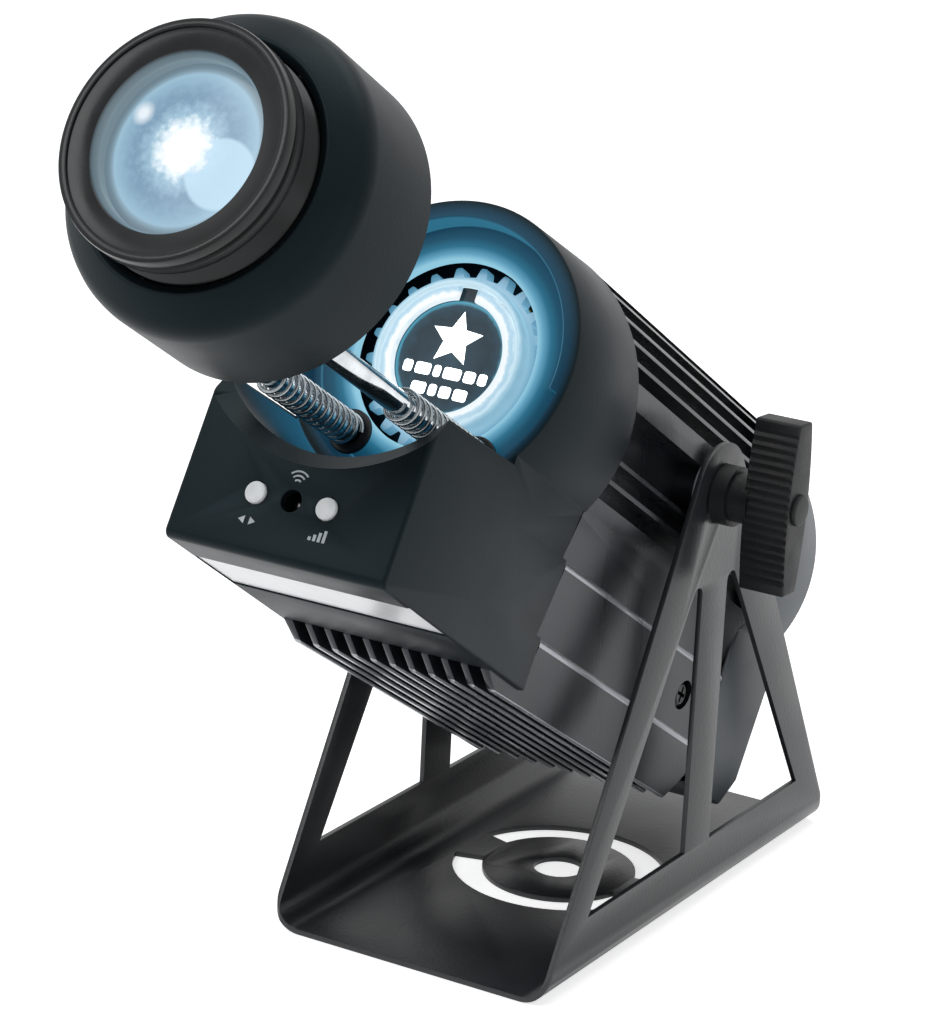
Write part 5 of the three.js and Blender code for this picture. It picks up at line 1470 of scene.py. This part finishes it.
# Guide rods, springs and bushes
guide = {
    "rod": 3, "back": 80, "front": 193, "clipGroove": (80.35, 81.65), "grooveRadius": 2.3,
    "eases": (0.6, 0.4), "wire": 0.55, "coil": 4.1, "start": 89.25, "length": 41, "turns": 13,
    "wireSides": 10, "stepsPerTurn": 24,
    "bush": [
        (3.3, 82.4), (4.2, 82.4), (4.2, 86.9), (5.5, 86.9), (5.8, 87.2), (5.8, 88.1), (5.5, 88.4),
        (3.6, 88.4), (3.3, 88.1),
    ],
}


def makeRods():
    g = guide
    rod, groove, back, front = g["rod"], g["grooveRadius"], g["back"], g["front"]
    backEase, frontEase = g["eases"]
    low, high = g["clipGroove"]
    y = rodAt[1]
    for name, side in twoSides.items():
        x = side * rodAt[0]
        obj = spinProfile(
            f"guideRod_{name}",
            [
                (0, back), (rod - backEase, back), (rod, back + backEase), (rod, low),
                (groove, low), (groove, high), (rod, high), (rod, front - frontEase),
                (rod - frontEase, front), (0, front),
            ],
            steps=48,
            closed=False,
        )
        shift(obj, x, y, 0)
        finishPiece(obj, looks["chromedRod"], "nose", [f"guide_rod_{name}"])

        deselectAll()
        bpy.ops.mesh.primitive_circle_add(
            vertices=g["wireSides"], radius=g["wire"] * mm, fill_type="NOTHING",
            location=(g["coil"] * mm, 0, g["start"] * mm), rotation=(math.pi / 2, 0, 0),
        )
        coil = named(f"bufferSpring_{name}")
        modifier = coil.modifiers.new("Wind", "SCREW")
        modifier.axis = "Z"
        modifier.angle = 2 * math.pi * g["turns"]
        modifier.screw_offset = g["length"] * mm
        modifier.steps = modifier.render_steps = g["stepsPerTurn"] * g["turns"]
        modifier.use_merge_vertices = False
        bpy.ops.object.modifier_apply(modifier=modifier.name)
        bpy.ops.object.mode_set(mode="EDIT")
        bpy.ops.mesh.select_all(action="DESELECT")
        bpy.ops.mesh.select_non_manifold()
        bpy.ops.mesh.edge_face_add()
        closeUp()
        shift(coil, x, y, 0)
        node = f"buffer_spring_{name}"
        finishPiece(coil, looks["springWire"], "head", [node], smooth=60)
        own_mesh(coil)

        bush = spinProfile(f"guideBush_{name}", g["bush"], steps=48)
        shift(bush, x, y, 0)
        finishPiece(bush, looks["filledNylon"], "head", [f"guide_bush_{name}"])


makeRods()
print("rods and springs ready")


# Gobo holder and the picture it throws
rotor = {
    "teeth": 22, "tip": 24.8, "root": 22.2, "gearBack": 77.6, "gearFront": 81.6, "hub": 20.7,
    "hubFront": 86, "journal": 18.6, "journalBack": 71.9, "bore": 16.6, "aperture": 14.6,
    "ledge": 79.6, "seat": 18.9, "seatZ": 82.4, "disc": 18.6, "discBack": 82.7, "discFront": 83.8,
    "clip": [(15, 84.1), (18.6, 84.1), (18.6, 85.5), (18.3, 85.7), (15.3, 85.7), (15, 85.4)],
    "clipMouth": 2.5, "bevel": 0.15, "clipBevel": 0.2, "toothShares": (0.25, 0.15, 0.1),
    "toothEase": 0.5, "hubEase": 0.5, "seatEase": 0.3, "discEase": 0.15,
}


def makeRotor():
    r = rotor
    outline = []
    heights = (r["root"], r["tip"] - r["toothEase"], r["tip"])
    tooth = [(height, -share) for height, share in zip(heights, r["toothShares"])]
    tooth += [(radius, -share) for radius, share in reversed(tooth)]
    pitch = 360 / r["teeth"]
    for i in range(r["teeth"]):
        middle = -90 + i * pitch
        for radius, share in tooth:
            angle = math.radians(middle + share * pitch)
            outline.append((radius * math.cos(angle), radius * math.sin(angle)))
    obj = frontOutline("goboWheel", outline, r["gearBack"], r["gearFront"])
    hub = spinProfile(
        "hub",
        [
            (0, r["journalBack"]), (r["journal"], r["journalBack"]),
            (r["journal"], r["gearBack"] + 1), (r["hub"], r["gearBack"] + 1),
            (r["hub"], r["hubFront"] - r["hubEase"]), (r["hub"] - r["hubEase"], r["hubFront"]),
            (0, r["hubFront"]),
        ],
        steps=96,
    )
    joinTo(obj, hub)
    ease = r["seatEase"]
    bore = spinProfile(
        "boreCut",
        [
            (0, r["journalBack"] - spare), (r["bore"], r["journalBack"] - spare),
            (r["bore"], r["ledge"]),
            (r["aperture"], r["ledge"]), (r["aperture"], r["seatZ"]), (r["seat"], r["seatZ"]),
            (r["seat"], r["hubFront"] - ease), (r["seat"] + 2 * ease, r["hubFront"] + ease),
            (0, r["hubFront"] + ease),
        ],
        steps=96,
    )
    cutAway(obj, bore)
    mergeClose(obj)
    softenEdges(obj, r["bevel"], angle=40, segments=1)
    finishPiece(obj, looks["holderLight"], "gobo_rotor", ["gobo_rotor"])

    ease = r["discEase"]
    disc = spinProfile(
        "goboDisc",
        [
            (0, r["discBack"]), (r["disc"] - ease, r["discBack"]), (r["disc"], r["discBack"] + ease),
            (r["disc"], r["discFront"] - ease), (r["disc"] - ease, r["discFront"]),
            (0, r["discFront"]),
        ],
        steps=96,
        closed=False,
    )
    finishPiece(disc, looks["artGlass"], "gobo_rotor", ["gobo_disc"])

    clip = spinProfile("goboClip", r["clip"], steps=96)
    half, end = r["clipMouth"], r["hubFront"] + spare
    cutAway(clip, brick("mouth", (-half, 0, r["seatZ"]), (half, r["tip"], end)))
    softenEdges(clip, r["clipBevel"], angle=40)
    finishPiece(clip, looks["holderLight"], "gobo_rotor", ["gobo_clip"])


picture = {
    "back": 83.8, "front": 83.88, "star": (0, 5.0, 7.4, 3.4), "rowHeight": 3.0, "corner": 0.7,
    "gap": 0.9,
    "rows": {-3.9: (2.6, 4.4, 2.0, 5.0, 3.2, 2.4), -8.9: (4.2, 2.2, 3.2, 3.8)},
}


# A plain star over two rows of rounded bars, in clear glass among the dark print.
def makePicture():
    p = picture
    cx, cy, outer, inner = p["star"]
    outline = []
    for i in range(10):
        angle = math.radians(90 + 36 * i)
        radius = outer if i % 2 == 0 else inner
        outline.append((cx + radius * math.cos(angle), cy + radius * math.sin(angle)))
    pieces = [frontOutline("star", outline, p["back"], p["front"])]
    for y, row in p["rows"].items():
        x = -(sum(row) + p["gap"] * (len(row) - 1)) / 2
        for width in row:
            bar = roundedBox(x + width / 2, y, width / 2, p["rowHeight"] / 2, p["corner"], 4)
            pieces.append(frontOutline("bar", bar, p["back"], p["front"]))
            x += width + p["gap"]
    finishPiece(gather(pieces, "goboPicture"), looks["artLight"], "gobo_rotor")


makeRotor()
makePicture()
print("gobo ready")


# Control panel keys and eye
keys = {
    "profile": [
        (0, 127.4), (1.5, 127.4), (1.5, 128.2), (3.9, 128.2), (3.9, 129.3), (2.75, 129.3),
        (2.75, 132.4), (2.6, 132.7), (2.1, 132.9), (0, 132.95),
    ],
}


def makeKeys():
    for name, side in twoSides.items():
        obj = spinProfile(f"key_{name}", keys["profile"], steps=48, closed=False)
        shift(obj, side * cover["keyAt"][0], cover["keyAt"][1], 0)
        finishPiece(obj, looks["whiteKey"], f"button_{name}", [f"button_{name}"])


makeKeys()
print("keys ready")


# Tilt knobs and washers
knob = {
    "outer": 42.3, "hub": 8, "hubLength": 4.5, "neck": 6.6, "barStart": 51.3, "barEnd": 64.3,
    "height": 46, "width": 13.5, "endWidth": 7, "rim": 1.6, "scallops": 18, "scallopDepth": 0.75,
    "bump": 4.2, "bumpHeight": 1.2, "bumpBevel": 0.5, "stud": 3, "studLength": 11,
    "restDegrees": -4,
}
washer = {"inner": 38.75, "outer": 40.2, "radius": 11, "bore": 3.6, "bevel": 0.2}


# Half the grip's width at a height: a long oval with flat ends.
def gripHalf(z):
    t = (2 * z / knob["height"] + 1) / 2
    return knob["endWidth"] / 2 * ((1 - t) ** 3 + t**3) + knob["width"] / 2 * 3 * t * (1 - t)


def gripOutline(scalloped):
    k = knob
    half, tip = k["height"] / 2, k["endWidth"] / 2
    reach = half - 2.5 if scalloped else half
    count = k["scallops"] * 4
    edge = []
    for i in range(count + 1):
        z = (2 * i / count - 1) * reach
        dip = k["scallopDepth"] * math.sin(math.pi * (i % 4) / 4) if scalloped else 0
        edge.append((gripHalf(z) - dip + (0.2 if scalloped else 0), z))
    if scalloped:
        edge = [(tip + 0.2, -half - 1)] + edge + [(tip + 0.2, half + 1)]
    return edge + [(-y, z) for y, z in reversed(edge)]


def makeKnob(side, name):
    k = knob
    start, end = k["barStart"], k["barEnd"]
    plain = [(start, y, z) for y, z in gripOutline(False)]
    obj = extrudeOutline(f"tiltKnob_{name}", plain, (end - start, 0, 0))
    mergeClose(obj)
    softenEdges(obj, k["rim"], angle=40, segments=4)
    scallops = [(start - 1, y, z) for y, z in gripOutline(True)]
    combine(obj, extrudeOutline("scallopCut", scallops, (end - start + 2, 0, 0)), "INTERSECT")
    bump = crossBar("bump", k["bump"], end - 2, end + k["bumpHeight"], sides=48)
    softenEdges(bump, k["bumpBevel"], angle=40, segments=3)
    joinTo(
        obj,
        bump,
        crossBar("hub", k["hub"], k["outer"], k["outer"] + k["hubLength"], sides=64),
        crossBar("neck", k["neck"], k["outer"] + 1, k["barStart"] + 1, sides=64),
        crossBar("stud", k["stud"], k["outer"] - k["studLength"], k["outer"] + 1, sides=40),
    )
    mergeClose(obj)
    pick(obj)
    turn = math.radians(k["restDegrees"])
    place = Matrix.Translation((0, pivotY, bracket["pivot"] * mm)) @ Matrix.Rotation(turn, 4, "X")
    if side < 0:
        mirrorX(obj)
    node = f"tilt_knob_{name}"
    finishPiece(obj, looks["filledNylon"], node, [node], place, smooth=30)


def makeWashers():
    w = washer
    for name, side in twoSides.items():
        inner, outer = sorted((side * w["inner"], side * w["outer"]))
        obj = crossBar(f"frictionWasher_{name}", w["radius"], inner, outer, sides=64)
        cutAway(obj, crossBar("boreCut", w["bore"], inner - 2, outer + 2))
        softenEdges(obj, w["bevel"], angle=40)
        finishPiece(obj, looks["paleNylon"], "head", [f"friction_washer_{name}"])


for name, side in twoSides.items():
    makeKnob(side, name)
makeWashers()
print("knobs ready")


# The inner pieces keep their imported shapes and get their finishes
innerFinishes = {
    "driver_board": "solderMask", "control_board": "solderMask", "led_board": "lampBoard",
    "led_emitter": "phosphorGel", "condenser_barrel": "turnedAnodised",
    "condenser_spacer": "turnedAnodised", "condenser_clip": "blackenedSteel",
    "gobo_carrier": "mouldedAbs", "rotor_bearing": "turnedBrass", "gobo_motor": "platedCan",
    "motor_pinion": "paleNylon", "objective_clip": "blackenedSteel",
    "rod_clip_left": "springWire", "rod_clip_right": "springWire", "ir_receiver": "smokedLens",
    "condenser_lens_rear": "lensGlass", "condenser_lens_front": "lensGlass",
}
for nodeName, look in innerFinishes.items():
    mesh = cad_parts[nodeName].data
    mesh.materials.clear()
    mesh.materials.append(looks[look])
print("inner pieces finished")


# Floor and light
stage = {
    "floor": "#f4f5f6", "floorSeen": 0.7, "world": 0.35, "size": 8, "drop": 0.0002,
    "target": (0, 0, 0.12), "roughness": 0.9,
}


# 1 for rays from the camera, and for those that metal and glass send on.
def seenRays(tree):
    path = addNode(tree, "ShaderNodeLightPath")
    mirrored = addNode(
        tree, "ShaderNodeMath", {"operation": "MAXIMUM"},
        {0: path.outputs["Is Glossy Ray"], 1: path.outputs["Is Transmission Ray"]},
    ).outputs["Value"]
    return addNode(
        tree, "ShaderNodeMath", {"operation": "MAXIMUM"},
        {0: path.outputs["Is Camera Ray"], 1: mirrored},
    ).outputs["Value"]


def makeStage():
    deselectAll()
    bpy.ops.mesh.primitive_plane_add(size=stage["size"], location=(0, 0, -stage["drop"]))
    floor = bpy.context.object
    floor.name = "floor"
    material, tree, shader = newMaterial("paleFloor")
    shader.inputs["Base Color"].default_value = linear(stage["floor"])
    shader.inputs["Roughness"].default_value = stage["roughness"]
    shader.inputs["Emission Color"].default_value = (1, 1, 1, 1)
    lift = addNode(
        tree, "ShaderNodeMath", {"operation": "MULTIPLY"}, {0: seenRays(tree), 1: stage["floorSeen"]}
    ).outputs["Value"]
    tree.links.new(lift, shader.inputs["Emission Strength"])
    floor.data.materials.append(material)

    world = bpy.data.worlds.new("studio")
    bpy.context.scene.world = world
    world.use_nodes = True
    tree = world.node_tree
    tree.nodes.clear()
    strength = addNode(
        tree, "ShaderNodeMapRange",
        inputs={"Value": seenRays(tree), "To Min": stage["world"], "To Max": 1.0},
    ).outputs["Result"]
    back = addNode(
        tree, "ShaderNodeBackground", inputs={"Color": (1, 1, 1, 1), "Strength": strength}
    )
    addNode(tree, "ShaderNodeOutputWorld", inputs={"Surface": back.outputs["Background"]})


lamps = {
    "keyLamp": {"at": (-0.5, -1.1, 1.3), "size": 0.9, "power": 9},
    "topLamp": {"at": (0.1, 0.5, 1.5), "size": 1.0, "power": 7},
    "sideLamp": {"at": (1.3, -0.6, 0.35), "size": 0.8, "power": 1.2},
}


def makeLamps():
    target = Vector(stage["target"])
    for name, lamp in lamps.items():
        bpy.ops.object.light_add(type="AREA", location=lamp["at"])
        light = bpy.context.object
        light.name = name
        light.data.size = lamp["size"]
        light.data.energy = lamp["power"]
        light.rotation_euler = (Vector(lamp["at"]) - target).to_track_quat("Z", "Y").to_euler()


makeStage()
makeLamps()
bpy.context.scene.view_settings.view_transform = "Standard"
print("stage ready")
